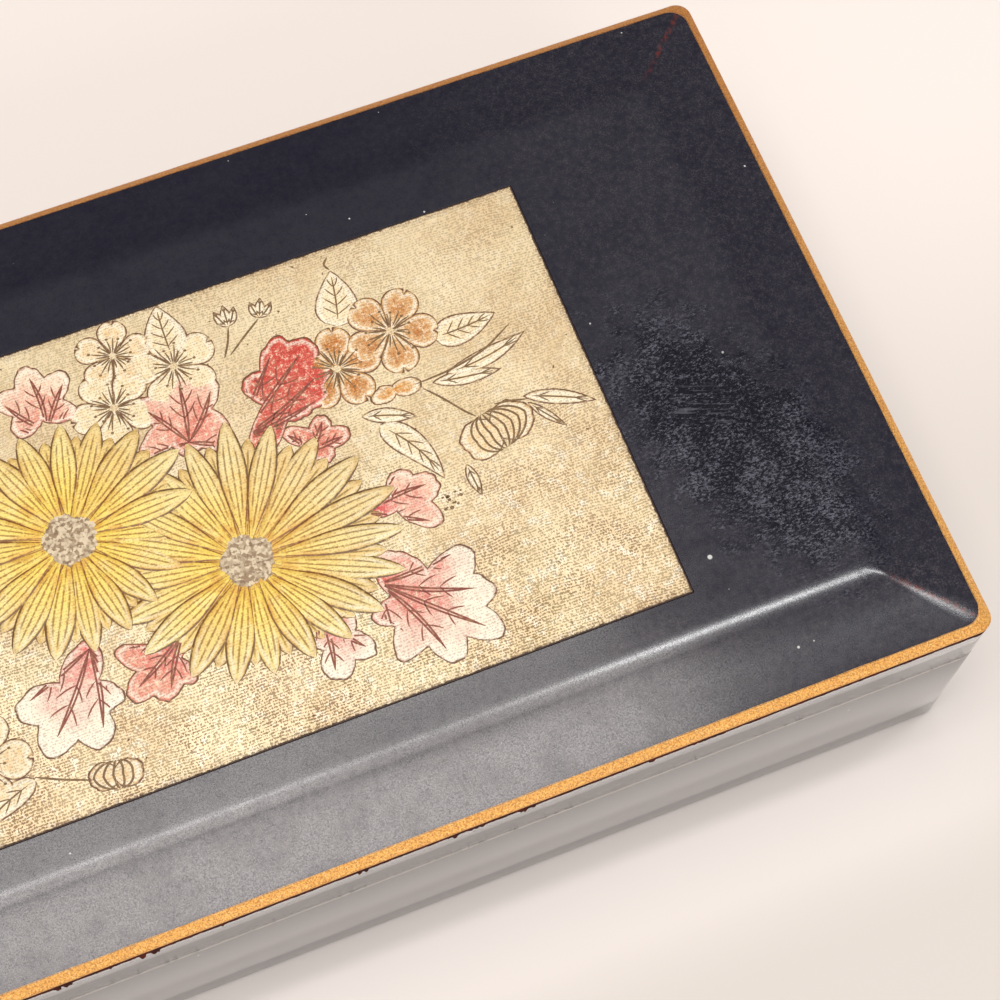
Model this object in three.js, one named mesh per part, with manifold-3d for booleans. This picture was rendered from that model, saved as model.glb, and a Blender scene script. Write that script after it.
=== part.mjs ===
// Musical jewelry box in black lacquer, with a gilt edge and an engraved flower panel in its lid.
// Millimetres, +Z up, the front at -Y. The origin is under the middle of the closed box, on the table.
import * as THREE from "three";
import { mergeVertices } from "three/addons/utils/BufferGeometryUtils.js";
import Module from "manifold-3d";

const wasm = await Module();
wasm.setup();

// Box outside
const BOX_LENGTH = 240;
const BOX_DEPTH = 140;
const CORNER_RADIUS = 3;
const CORNER_STEPS = 5;
const WALL = 7;
const BODY_HEIGHT = 36.5;
const SEAM_GAP = 0.3;

// Base: the board sits in a rabbet, high enough for the key to clear the table
const RABBET_WALL = 5;
const RECESS_DEPTH = 13;
const BASE_THICKNESS = 3;
const CORNER_BLOCK = 16;
const FOOT_RADIUS = 6.5;
const FOOT_THICKNESS = 2;
const FOOT_SHOW = 1;

// Lid: skirt, gilt chamfer, bevel and flat
const SKIRT_HEIGHT = 14.2;
const GOLD_WIDTH = 1.6;
const GOLD_RISE = 1;
const GOLD_DEPTH = 0.5;
const GOLD_CORNER = 3.5;
const GOLD_GAP = 0.1;
const BEVEL_WIDTH = 13.4;
const BEVEL_RISE = 2.4;
const BEVEL_CORNER = 1;
const LID_BOARD = 7.4;

// Engraved panel, let into the flat of the lid
const PANEL_LENGTH = 143;
const PANEL_DEPTH = 87.5;
const PANEL_SHIFT = -2;
const PANEL_THICKNESS = 1;
const PANEL_PROUD = 0.3;
const PANEL_GAP = 0.3;

// Lining of the lid
const LID_LINER = 3;
const LINER_GAP = 0.3;
const MIRROR_LENGTH = 176;
const MIRROR_DEPTH = 86;
const MIRROR_THICKNESS = 2;
const MIRROR_BEVEL = 1;
const MIRROR_BEVEL_WIDTH = 6;

// Lining of the body
const WALL_LINER = 1.2;
const WALL_LINER_DROP = 1.2;
const FLOOR_LINER = 1.2;
const DIVIDER = 4;
const DIVIDER_DROP = 3;

// Ring rolls
const ROLL_COUNT = 5;
const ROLL_GAP = 0.3;
const ROLL_HEIGHT = 13.5;
const ROLL_STATIONS = 12;
const ROLL_POINTS = 20;
const ROLL_END_GIRTH = 0.62;
const ROLL_CROWN = 0.05;
const ROLL_END_POWER = 10;
const ROLL_SQUARENESS = 0.75;
const ROLL_FLAT = 0.14;

// Hinges
const HINGE_INSET = 45;
const HINGE_LENGTH = 30;
const LEAF_WIDTH = 6;
const LEAF_THICKNESS = 1;
const KNUCKLE_RADIUS = 1.75;
const KNUCKLE_COUNT = 3;
const KNUCKLE_GAP = 0.3;
const HINGE_STANDOFF = 0.25;
const HINGE_PIN_RADIUS = 0.8;
const PIN_PLAY = 0.1;
const LEAF_PLAY = 0.15;
const STOP_LUG_REACH = 2.25;
const STOP_LUG_LENGTH = 5;
const STOP_LUG_THICKNESS = 0.5;
const STOP_LUG_ANGLE = 312;
const HINGE_SCREW_END = 5.5;
const HINGE_SCREW_INSET = 3.2;
const HINGE_SCREW = { head: 1.4, headHeight: 0.7, shank: 0.7, length: 5, sunk: 0.05, countersunk: true };
const SCREW_PLAY = 0.12;
const SCREW_SIDES = 12;

// Movement: bedplate and its bearing lugs
const BED_LEFT = -30.2;
const BED_RIGHT = 31.4;
const BED_WIDTH = 44;
const BED_THICKNESS = 2.5;
const BED_CORNER = 3;
const LUG_WIDTH = 4.4;
const LUG_THICKNESS = 1.4;
const LUG_HEAD = 2.4;
const SHAFT_PLAY = 0.1;
const END_PLAY = 0.8;
const ROUND_SIDES = 24;
const FINE_SIDES = 12;
const BED_SCREW_SPOTS = [[-26, -18], [-6, 18.5], [27, -18]];
const BED_SCREW_SHORT = 0.5;
const BED_SCREW = { head: 2.6, headHeight: 1.6, shank: 1.2, sunk: 0, countersunk: false };

// Movement: barrel with its upright teeth, mainspring, arbor and key
const BARREL_TEETH = 42;
const BARREL_PITCH_RADIUS = 14.2;
const BARREL_TOOTH_LENGTH = 2.4;
const BARREL_TOOTH_HEIGHT = 1.4;
const BARREL_PITCH_HEIGHT = 0.8;
const BARREL_DISC = 1.5;
const BARREL_LIFT = 0.5;
const DRUM_RADIUS = 12;
const DRUM_HEIGHT = 11;
const DRUM_WALL = 0.8;
const ARBOR_RADIUS = 2;
const ARBOR_BELOW_BASE = 3;
const SPRING_TURNS = 5;
const SPRING_STEPS = 16;
const SPRING_THICKNESS = 0.5;
const SPRING_CLEARANCE = 0.6;
const KEY_HUB_RADIUS = 3.2;
const KEY_HUB_HEIGHT = 6;
const KEY_CLEARANCE = 0.6;
const KEY_WIDTH = 24;
const KEY_HEIGHT = 8;
const KEY_CORNER = 3.7;
const KEY_THICKNESS = 1.8;
const KEY_HOLE_RADIUS = 2.2;
const BASE_HOLE_PLAY = 0.6;

// Movement: pinned cylinder
const PINION_TEETH = 12;
const CYLINDER_RADIUS = 5.5;
const CYLINDER_LENGTH = 20;
const CYLINDER_SHAFT = 1;
const NOTES = 18;
const PINS_PER_NOTE = 3;
const PIN_HEIGHT = 0.5;
const PIN_WIDTH = 0.4;
const PIN_ANGLE_STEP = 47;
const PIN_ANGLE_SPREAD = 131;
const WHEEL_TEETH = 30;
const WHEEL_MODULE = 0.38;
const WHEEL_THICKNESS = 1.4;

// Movement: comb
const COMB_THICKNESS = 0.8;
const COMB_BACK = 20;
const COMB_SEAT = 6.5;
const COMB_SLOT = 0.3;
const COMB_ROOT_NEAR = 9;
const COMB_ROOT_SLANT = 0.22;
const COMB_TIP_GAP = 0.25;
const COMB_SCREW_SPACING = 12;
const COMB_SCREW_INSET = 2.8;
const COMB_SCREW = { head: 2, headHeight: 1.4, shank: 0.9, length: 4, sunk: 0, countersunk: false };

// Movement: governor
const GOVERNOR_PINION_TEETH = 10;
const WORM_WHEEL_TEETH = 12;
const WORM_WHEEL_RADIUS = 3.5;
const WORM_WHEEL_THICKNESS = 1.2;
const WORM_WHEEL_ADDENDUM = 0.45;
const WORM_WHEEL_DEDENDUM = 0.6;
const WORM_RADIUS = 1.5;
const WORM_CORE = 0.85;
const WORM_REACH = 0.4;
const WORM_THREAD = 0.5;
const WORM_TURNS = 3;
const WORM_STEPS = 12;
const THIN_SHAFT = 0.4;
const BRACKET_PLATE = 1.2;
const BRACKET_BACK = 20.4;
const BRACKET_FRONT = 6.4;
const BRACKET_ARM = 4.6;
const BRACKET_TOP_ARM = 3.4;
const FAN_RADIUS = 5.6;
const FAN_HEIGHT = 4.5;
const FAN_THICKNESS = 0.4;
const FAN_BOTTOM = 14;
const FAN_HUB = 1;
const FAN_TOP_GAP = 0.9;
const FAN_FOOT_GAP = 0.3;

// Movement: lever and rod that stop the fan while the lid is shut
const STOP_PIVOT_X = 15.5;
const STOP_ROD_X = 4.5;
const STOP_LEVER_HEIGHT = 1;
const STOP_LEVER_WIDTH = 1.6;
const STOP_LEVER_Z = 15.8;
const STOP_LEVER_TAIL = 1.5;
const STOP_BOSS_RADIUS = 1.6;
const STOP_PIVOT_RADIUS = 0.6;
const STOP_PIVOT_END = 0.3;
const STOP_POST_WIDTH = 2.4;
const STOP_POST_THICKNESS = 2.2;
const STOP_FAN_GAP = 0.4;
const STOP_ROD_RADIUS = 0.6;
const STOP_ROD_GAP = 0.3;
const STOP_CAP_RADIUS = 1.6;
const STOP_CAP_HEIGHT = 2.2;
const BUSH_RADIUS = 1.5;
const BUSH_FLANGE_RADIUS = 2.6;
const BUSH_FLANGE_HEIGHT = 0.8;
const BUSH_PLAY = 0.15;

// Clear cover over the movement, and the room that it leaves round the bedplate
const COVER_WALL = 1.5;
const COVER_GAP = 0.5;
const COVER_HEIGHT = 23;
const ROOM_BESIDE = 2.6;
const ROOM_BEHIND = 4.4;

// Shape of the gear teeth, as shares of the tooth pitch
const TOOTH_AT_TIP = 0.22;
const TOOTH_AT_ROOT = 0.52;

// How far a cutter runs past the piece that it cuts, and how near two corners are the same one
const PAST = 7;
const MERGE_TOLERANCE = 1e-4;

// Levels and places worked out from the sizes above
const BODY_BOTTOM = FOOT_SHOW;
const BODY_TOP = BODY_BOTTOM + BODY_HEIGHT;
const BASE_BOTTOM = BODY_BOTTOM + RECESS_DEPTH;
const FLOOR_Z = BASE_BOTTOM + BASE_THICKNESS;
const LINER_TOP = FLOOR_Z + FLOOR_LINER;
const LID_BOTTOM = BODY_TOP + SEAM_GAP;
const CROWN_START = SKIRT_HEIGHT + GOLD_RISE;
const LID_TOP = CROWN_START + BEVEL_RISE;
const CEILING = LID_TOP - LID_BOARD;
const CAVITY_X = BOX_LENGTH / 2 - WALL;
const CAVITY_Y = BOX_DEPTH / 2 - WALL;
const LINED_X = CAVITY_X - WALL_LINER;
const LINED_Y = CAVITY_Y - WALL_LINER;
const BACK = BOX_DEPTH / 2;
const BAY_LENGTH = BED_RIGHT - BED_LEFT + 2 * (ROOM_BESIDE + COVER_WALL + COVER_GAP);
const BAY_DEPTH = BED_WIDTH + 2 * (ROOM_BEHIND + COVER_WALL + COVER_GAP);
const BAY_RIGHT = BAY_LENGTH - LINED_X;
const BAY_FRONT = LINED_Y - BAY_DEPTH;
const LONG_DIVIDER_Y = BAY_FRONT - DIVIDER / 2;
const LEFT_DIVIDER_X = BAY_RIGHT + DIVIDER / 2;
const BACK_DIVIDER_X = (BAY_RIGHT + DIVIDER + LINED_X) / 2;
const MOVEMENT_X = (BAY_RIGHT - LINED_X) / 2;
const MOVEMENT_Y = (BAY_FRONT + LINED_Y) / 2;
const HINGE_X = BOX_LENGTH / 2 - HINGE_INSET;
const HINGE_AXIS_Y = BACK + HINGE_STANDOFF + KNUCKLE_RADIUS;
const HINGE_AXIS_Z = BODY_TOP + SEAM_GAP / 2;
const HINGE_PROUD = HINGE_STANDOFF + 2 * KNUCKLE_RADIUS;
const BARREL_X = -BARREL_PITCH_RADIUS;
const BARREL_BOTTOM = BED_THICKNESS + BARREL_LIFT;
const DRUM_BOTTOM = BARREL_BOTTOM + BARREL_DISC;
const PINION_RADIUS = (BARREL_PITCH_RADIUS * PINION_TEETH) / BARREL_TEETH;
const AXIS_Z = DRUM_BOTTOM + BARREL_PITCH_HEIGHT + PINION_RADIUS;
const LUG_LEFT = BARREL_TOOTH_LENGTH / 2 + END_PLAY;
const CYLINDER_LEFT = LUG_LEFT + LUG_THICKNESS + END_PLAY;
const CYLINDER_RIGHT = CYLINDER_LEFT + CYLINDER_LENGTH;
const LUG_RIGHT = CYLINDER_RIGHT + END_PLAY;
const WHEEL_LEFT = LUG_RIGHT + LUG_THICKNESS + END_PLAY;
const WHEEL_RADIUS = (WHEEL_MODULE * WHEEL_TEETH) / 2;
const GOVERNOR_PINION_RADIUS = (WHEEL_MODULE * GOVERNOR_PINION_TEETH) / 2;
const GOVERNOR_Y = WHEEL_RADIUS + GOVERNOR_PINION_RADIUS;
const WORM_WHEEL_X = LUG_RIGHT + LUG_THICKNESS / 2;
const FAN_Y = GOVERNOR_Y + WORM_WHEEL_RADIUS + WORM_RADIUS;
const WORM_PITCH = (2 * Math.PI * WORM_WHEEL_RADIUS) / WORM_WHEEL_TEETH;
const BRACKET_LEFT = CYLINDER_RIGHT - 2 * END_PLAY;
const BRACKET_RIGHT = WHEEL_LEFT + WHEEL_THICKNESS + END_PLAY + BRACKET_PLATE;
const BRACKET_TOP = FAN_BOTTOM + FAN_HEIGHT + FAN_TOP_GAP;
const COMB_TIP = CYLINDER_RADIUS + PIN_HEIGHT + COMB_TIP_GAP;
const COMB_Z = AXIS_Z - COMB_THICKNESS / 2;
const LID_LINER_Z = LID_BOTTOM + CEILING - LID_LINER - FLOOR_Z;

// Colours
const FINISH = {
  lacquer: { color: 0x14121a, roughness: 0.12, metalness: 0 },
  gilt: { color: 0xd9a860, roughness: 0.4, metalness: 0.8 },
  panel: { color: 0xe6d3ae, roughness: 0.45, metalness: 0.5 },
  board: { color: 0x8a6d4a, roughness: 0.8, metalness: 0 },
  felt: { color: 0x2a3a30, roughness: 1, metalness: 0 },
  velvet: { color: 0x7c1222, roughness: 0.95, metalness: 0 },
  satin: { color: 0x9a1c2c, roughness: 0.6, metalness: 0 },
  mirror: { color: 0xd8dde0, roughness: 0.03, metalness: 1 },
  clear: { color: 0xdfe8ea, roughness: 0.1, metalness: 0, transparent: true, opacity: 0.35 },
  brass: { color: 0xc79a45, roughness: 0.35, metalness: 0.9 },
  steel: { color: 0xb4b7ba, roughness: 0.3, metalness: 0.9 },
  zinc: { color: 0x9b9c9a, roughness: 0.55, metalness: 0.7 },
};

const X_AXIS = new THREE.Vector3(1, 0, 0);
const Y_AXIS = new THREE.Vector3(0, 1, 0);
const Z_AXIS = new THREE.Vector3(0, 0, 1);
const ALONG_X = new THREE.Matrix4().makeBasis(Y_AXIS, Z_AXIS, X_AXIS);
const ALONG_Y = new THREE.Matrix4().makeBasis(Z_AXIS, X_AXIS, Y_AXIS);
const UPRIGHT = new THREE.Matrix4().makeBasis(X_AXIS, Z_AXIS, Y_AXIS.clone().negate());

// A closed geometry as a solid that can be joined and cut
function solidOf(geometry) {
  const bare = geometry.clone();
  bare.deleteAttribute("normal");
  bare.deleteAttribute("uv");
  const merged = mergeVertices(bare, MERGE_TOLERANCE);
  const corners = [];
  for (let i = 0; i < merged.index.count; i += 3) {
    const [a, b, c] = [0, 1, 2].map((k) => merged.index.getX(i + k));
    if (a !== b && b !== c && c !== a) corners.push(a, b, c);
  }
  const vertProperties = merged.attributes.position.array;
  const mesh = new wasm.Mesh({ numProp: 3, vertProperties, triVerts: new Uint32Array(corners) });
  return new wasm.Manifold(mesh);
}

function geometryOf(solid) {
  const mesh = solid.getMesh();
  const geometry = new THREE.BufferGeometry();
  geometry.setAttribute("position", new THREE.BufferAttribute(mesh.vertProperties, 3));
  geometry.setIndex(new THREE.BufferAttribute(mesh.triVerts, 1));
  geometry.computeVertexNormals();
  return geometry;
}

function join(first, ...others) {
  return geometryOf(others.reduce((whole, other) => whole.add(solidOf(other)), solidOf(first)));
}

function cut(first, ...cutters) {
  return geometryOf(cutters.reduce((whole, cutter) => whole.subtract(solidOf(cutter)), solidOf(first)));
}

function piece(name, geometry, finish) {
  const mesh = new THREE.Mesh(geometry, new THREE.MeshStandardMaterial(finish));
  mesh.name = name;
  return mesh;
}

function groupAt(x, y, z, ...meshes) {
  const group = new THREE.Group();
  group.position.set(x, y, z);
  group.add(...meshes);
  return group;
}

// A block between two corners
function block(x0, x1, y0, y1, z0, z1) {
  const geometry = new THREE.BoxGeometry(x1 - x0, y1 - y0, z1 - z0);
  return geometry.translate((x0 + x1) / 2, (y0 + y1) / 2, (z0 + z1) / 2);
}

// A round rod on the Z axis, then turned along another axis where one is given
function rod(radius, from, to, sides, along) {
  const profile = [[0, from], [radius, from], [radius, to], [0, to]];
  const geometry = turned(profile, sides);
  return along ? geometry.applyMatrix4(along) : geometry;
}

// A body of revolution about Z, from a profile of [radius, height] that runs from bottom to top
function turned(profile, sides) {
  const points = profile.map(([radius, height]) => new THREE.Vector2(radius, height));
  return new THREE.LatheGeometry(points, sides).applyMatrix4(UPRIGHT);
}

function roundedRectangle(length, depth, radius) {
  const shape = new THREE.Shape();
  const [x, y] = [length / 2, depth / 2];
  shape.moveTo(-x + radius, -y);
  shape.lineTo(x - radius, -y);
  shape.absarc(x - radius, -y + radius, radius, -Math.PI / 2, 0, false);
  shape.lineTo(x, y - radius);
  shape.absarc(x - radius, y - radius, radius, 0, Math.PI / 2, false);
  shape.lineTo(-x + radius, y);
  shape.absarc(-x + radius, y - radius, radius, Math.PI / 2, Math.PI, false);
  shape.lineTo(-x, -y + radius);
  shape.absarc(-x + radius, -y + radius, radius, Math.PI, 1.5 * Math.PI, false);
  return shape;
}

function raised(shape, bottom, top, steps = CORNER_STEPS) {
  const options = { depth: top - bottom, bevelEnabled: false, curveSegments: steps };
  return new THREE.ExtrudeGeometry(shape, options).translate(0, 0, bottom);
}

// One ring of points round the box, drawn in from its outline
function boxLoop({ inset, z, radius }) {
  const [x, y] = [BOX_LENGTH / 2 - inset - radius, BOX_DEPTH / 2 - inset - radius];
  const centres = [[x, y], [-x, y], [-x, -y], [x, -y]];
  return centres.flatMap(([cx, cy], quarter) => {
    const angles = Array.from({ length: CORNER_STEPS + 1 }, (_, i) => quarter + i / CORNER_STEPS);
    return angles.map((turn) => {
      const angle = (turn * Math.PI) / 2;
      return [cx + radius * Math.cos(angle), cy + radius * Math.sin(angle), z];
    });
  });
}

// A skin through rings of points: the ends are capped, or the last ring meets the first
function loft(loops, isRing = false) {
  const size = loops[0].length;
  const index = [];
  const spans = isRing ? loops.length : loops.length - 1;
  for (let row = 0; row < spans; row++) {
    const [low, high] = [row * size, ((row + 1) % loops.length) * size];
    for (let i = 0; i < size; i++) {
      const next = (i + 1) % size;
      index.push(low + i, low + next, high + next, low + i, high + next, high + i);
    }
  }
  const last = (loops.length - 1) * size;
  for (let i = 1; i < size - 1 && !isRing; i++) index.push(0, i + 1, i, last, last + i, last + i + 1);
  const geometry = new THREE.BufferGeometry();
  geometry.setAttribute("position", new THREE.Float32BufferAttribute(loops.flat(2), 3));
  geometry.setIndex(index);
  return geometry;
}

// The outline of a wheel with straight-sided teeth, one tooth centred at startAngle
function gearShape(teeth, pitchRadius, addendum, dedendum, startAngle = 0) {
  const shape = new THREE.Shape();
  const pitch = (2 * Math.PI) / teeth;
  const [root, tip] = [pitchRadius - dedendum, pitchRadius + addendum];
  const corners = [[root, -TOOTH_AT_ROOT], [tip, -TOOTH_AT_TIP], [tip, TOOTH_AT_TIP], [root, TOOTH_AT_ROOT]];
  for (let tooth = 0; tooth < teeth; tooth++) {
    corners.forEach(([radius, share], i) => {
      const angle = startAngle + (tooth + share / 2) * pitch;
      const [x, y] = [radius * Math.cos(angle), radius * Math.sin(angle)];
      if (tooth === 0 && i === 0) shape.moveTo(x, y);
      else shape.lineTo(x, y);
    });
  }
  return shape;
}

// A screw along Z with its head's top at height 0 and its shank below it
function screw({ head, headHeight, shank, length, sunk, countersunk }, play = 0) {
  const shoulder = countersunk ? shank + play : head + play;
  const top = play ? play : -sunk;
  const profile = [
    [0, -headHeight - length - play],
    [shank + play, -headHeight - length - play],
    [shank + play, -headHeight - play],
    [shoulder, -headHeight - play],
    [head + play, top],
    [0, top],
  ];
  return turned(profile.filter((point, i) => i === 0 || point.join() !== profile[i - 1].join()), SCREW_SIDES);
}

// Body: walls, base, feet, lining and ring rolls
function hingeSpots() {
  return [-HINGE_X, HINGE_X];
}

function leafMortise(x, bottom, top) {
  const half = HINGE_LENGTH / 2 + LEAF_PLAY;
  return block(x - half, x + half, BACK - LEAF_WIDTH - LEAF_PLAY, BACK + PAST, bottom, top);
}

function hingeScrewSpots(x) {
  const half = HINGE_LENGTH / 2 - HINGE_SCREW_END;
  return [x - half, x + half];
}

function bodyCase() {
  const outline = roundedRectangle(BOX_LENGTH, BOX_DEPTH, CORNER_RADIUS);
  const walls = raised(outline, BODY_BOTTOM, BODY_TOP);
  const [recessX, recessY] = [BOX_LENGTH / 2 - RABBET_WALL, BOX_DEPTH / 2 - RABBET_WALL];
  const cavity = block(-CAVITY_X, CAVITY_X, -CAVITY_Y, CAVITY_Y, 0, BODY_TOP + PAST);
  const recess = block(-recessX, recessX, -recessY, recessY, 0, FLOOR_Z);
  const mortises = hingeSpots().map((x) => leafMortise(x, BODY_TOP - LEAF_THICKNESS, BODY_TOP + PAST));
  const holes = hingeSpots().flatMap(hingeScrewSpots).map((x) => {
    return screw(HINGE_SCREW, SCREW_PLAY).translate(x, BACK - HINGE_SCREW_INSET, BODY_TOP);
  });
  return cut(walls, cavity, recess, ...mortises, ...holes);
}

function baseBoard() {
  const [x, y] = [BOX_LENGTH / 2 - RABBET_WALL, BOX_DEPTH / 2 - RABBET_WALL];
  const board = block(-x, x, -y, y, BASE_BOTTOM, FLOOR_Z);
  const arborHole = rod(ARBOR_RADIUS + BASE_HOLE_PLAY, 0, FLOOR_Z + PAST, ROUND_SIDES);
  arborHole.translate(MOVEMENT_X + BARREL_X, MOVEMENT_Y, 0);
  const screwHoles = BED_SCREW_SPOTS.map(([sx, sy]) => {
    const hole = rod(BED_SCREW.shank + SCREW_PLAY, 0, FLOOR_Z + PAST, SCREW_SIDES);
    return hole.translate(MOVEMENT_X + sx, MOVEMENT_Y + sy, 0);
  });
  return cut(board, arborHole, ...screwHoles);
}

function cornerPieces() {
  const x = BOX_LENGTH / 2 - RABBET_WALL - CORNER_BLOCK / 2;
  const y = BOX_DEPTH / 2 - RABBET_WALL - CORNER_BLOCK / 2;
  const spots = { front_left: [-x, -y], front_right: [x, -y], back_left: [-x, y], back_right: [x, y] };
  const half = CORNER_BLOCK / 2;
  return Object.entries(spots).flatMap(([name, [cx, cy]]) => {
    const wood = block(cx - half, cx + half, cy - half, cy + half, FOOT_THICKNESS, BASE_BOTTOM);
    const felt = rod(FOOT_RADIUS, 0, FOOT_THICKNESS, ROUND_SIDES).translate(cx, cy, 0);
    return [piece("corner_block_" + name, wood, FINISH.board), piece("felt_foot_" + name, felt, FINISH.felt)];
  });
}

function wallLiner() {
  const top = BODY_TOP - WALL_LINER_DROP;
  const outside = block(-CAVITY_X, CAVITY_X, -CAVITY_Y, CAVITY_Y, FLOOR_Z, top);
  return cut(outside, block(-LINED_X, LINED_X, -LINED_Y, LINED_Y, 0, top + PAST));
}

function floorLiner() {
  const whole = block(-LINED_X, LINED_X, -LINED_Y, LINED_Y, FLOOR_Z, LINER_TOP);
  return cut(whole, block(-BOX_LENGTH, BAY_RIGHT, BAY_FRONT, BOX_DEPTH, 0, BODY_TOP));
}

function dividers() {
  const top = BODY_TOP - DIVIDER_DROP;
  const half = DIVIDER / 2;
  const [front, back] = [LONG_DIVIDER_Y - half, LONG_DIVIDER_Y + half];
  const upright = (x, y0, y1) => block(x - half, x + half, y0, y1, LINER_TOP, top);
  return [
    piece("divider_long", block(-LINED_X, LINED_X, front, back, LINER_TOP, top), FINISH.velvet),
    piece("divider_left_front", upright(LEFT_DIVIDER_X, -LINED_Y, front), FINISH.velvet),
    piece("divider_left_back", upright(LEFT_DIVIDER_X, back, LINED_Y), FINISH.velvet),
    piece("divider_right_back", upright(BACK_DIVIDER_X, back, LINED_Y), FINISH.velvet),
  ];
}

// A stuffed roll along X: flat below, crowned along its length and drawn in at both ends
function ringRoll(length, width) {
  const loops = Array.from({ length: ROLL_STATIONS + 1 }, (_, station) => {
    const along = Math.sin((station / ROLL_STATIONS - 0.5) * Math.PI);
    const fall = 1 - Math.abs(along) ** ROLL_END_POWER;
    const girth = (ROLL_END_GIRTH + (1 - ROLL_END_GIRTH) * fall) * (1 - ROLL_CROWN * along * along);
    return Array.from({ length: ROLL_POINTS }, (__, i) => {
      const angle = (2 * Math.PI * i) / ROLL_POINTS;
      const round = (value) => Math.sign(value) * Math.abs(value) ** ROLL_SQUARENESS;
      const across = (round(Math.cos(angle)) * width * girth) / 2;
      const flat = ROLL_FLAT - 1;
      const up = Math.max(round(Math.sin(angle)) * girth, flat * girth);
      return [(along * length) / 2, across, ((up - flat) / (1 - flat)) * ROLL_HEIGHT];
    });
  });
  return loft(loops);
}

function ringRolls() {
  const right = BAY_RIGHT - ROLL_GAP;
  const left = -LINED_X + ROLL_GAP;
  const front = -LINED_Y + ROLL_GAP;
  const pitch = (LONG_DIVIDER_Y - DIVIDER / 2 - front) / ROLL_COUNT;
  return Array.from({ length: ROLL_COUNT }, (_, i) => {
    const geometry = ringRoll(right - left, pitch - ROLL_GAP);
    const y = front + i * pitch + (pitch - ROLL_GAP) / 2;
    geometry.translate((left + right) / 2, y, LINER_TOP + ROLL_GAP);
    return piece("ring_roll_" + (i + 1), geometry, FINISH.velvet);
  });
}

// Hinges, on their own axis: X along the pin, +Y away from the box, the lid's leaf above
function knuckles(isLid) {
  const pitch = (HINGE_LENGTH + KNUCKLE_GAP) / KNUCKLE_COUNT;
  const rows = Array.from({ length: KNUCKLE_COUNT }, (_, i) => i).filter((i) => (i % 2 === 1) === isLid);
  return rows.map((i) => [-HINGE_LENGTH / 2 + i * pitch, -HINGE_LENGTH / 2 + (i + 1) * pitch - KNUCKLE_GAP]);
}

function hingeLeaf(isLid) {
  const side = isLid ? 1 : -1;
  const near = (side * SEAM_GAP) / 2;
  const far = near + side * LEAF_THICKNESS;
  const [low, high] = [Math.min(near, far), Math.max(near, far)];
  const inner = BACK - LEAF_WIDTH - HINGE_AXIS_Y;
  const edge = -KNUCKLE_RADIUS - KNUCKLE_GAP;
  const plate = block(-HINGE_LENGTH / 2, HINGE_LENGTH / 2, inner, edge, low, high);
  const barrels = knuckles(isLid).flatMap(([from, to]) => [
    rod(KNUCKLE_RADIUS, from, to, ROUND_SIDES, ALONG_X),
    block(from, to, edge - LEAF_THICKNESS, 0, low, high),
  ]);
  const solid = join(plate, ...barrels, ...(isLid ? [stopLug()] : []));
  const bore = rod(HINGE_PIN_RADIUS + PIN_PLAY, -HINGE_LENGTH, HINGE_LENGTH, FINE_SIDES, ALONG_X);
  const holes = hingeScrewSpots(0).map((x) => {
    return hingeScrewAt(isLid, SCREW_PLAY).translate(x, 0, 0);
  });
  return cut(solid, bore, ...holes);
}

// The lug on the lid's knuckle that meets the back wall and holds the lid open
function stopLug() {
  const half = STOP_LUG_LENGTH / 2;
  const inside = HINGE_PIN_RADIUS + 2 * PIN_PLAY;
  const side = STOP_LUG_THICKNESS / 2;
  const lug = block(-half, half, inside, STOP_LUG_REACH, -side, side);
  return lug.rotateX(THREE.MathUtils.degToRad(STOP_LUG_ANGLE));
}

function hingeScrewAt(isLid, play) {
  const geometry = screw(HINGE_SCREW, play);
  const side = isLid ? 1 : -1;
  if (isLid) geometry.rotateX(Math.PI);
  return geometry.translate(0, BACK - HINGE_SCREW_INSET - HINGE_AXIS_Y, (side * SEAM_GAP) / 2);
}

function hinge(name, x) {
  const pinLength = HINGE_LENGTH / 2;
  const parts = [
    piece("hinge_pin_" + name, rod(HINGE_PIN_RADIUS, -pinLength, pinLength, FINE_SIDES, ALONG_X), FINISH.brass),
    piece("hinge_body_leaf_" + name, hingeLeaf(false), FINISH.brass),
    piece("hinge_lid_leaf_" + name, hingeLeaf(true), FINISH.brass),
  ];
  for (const [place, isLid] of [["body", false], ["lid", true]]) {
    hingeScrewSpots(0).forEach((sx, i) => {
      const geometry = hingeScrewAt(isLid, 0).translate(sx, 0, 0);
      parts.push(piece(`hinge_${place}_screw_${name}_${i + 1}`, geometry, FINISH.brass));
    });
  }
  return groupAt(x, HINGE_AXIS_Y, HINGE_AXIS_Z, ...parts);
}

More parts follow.
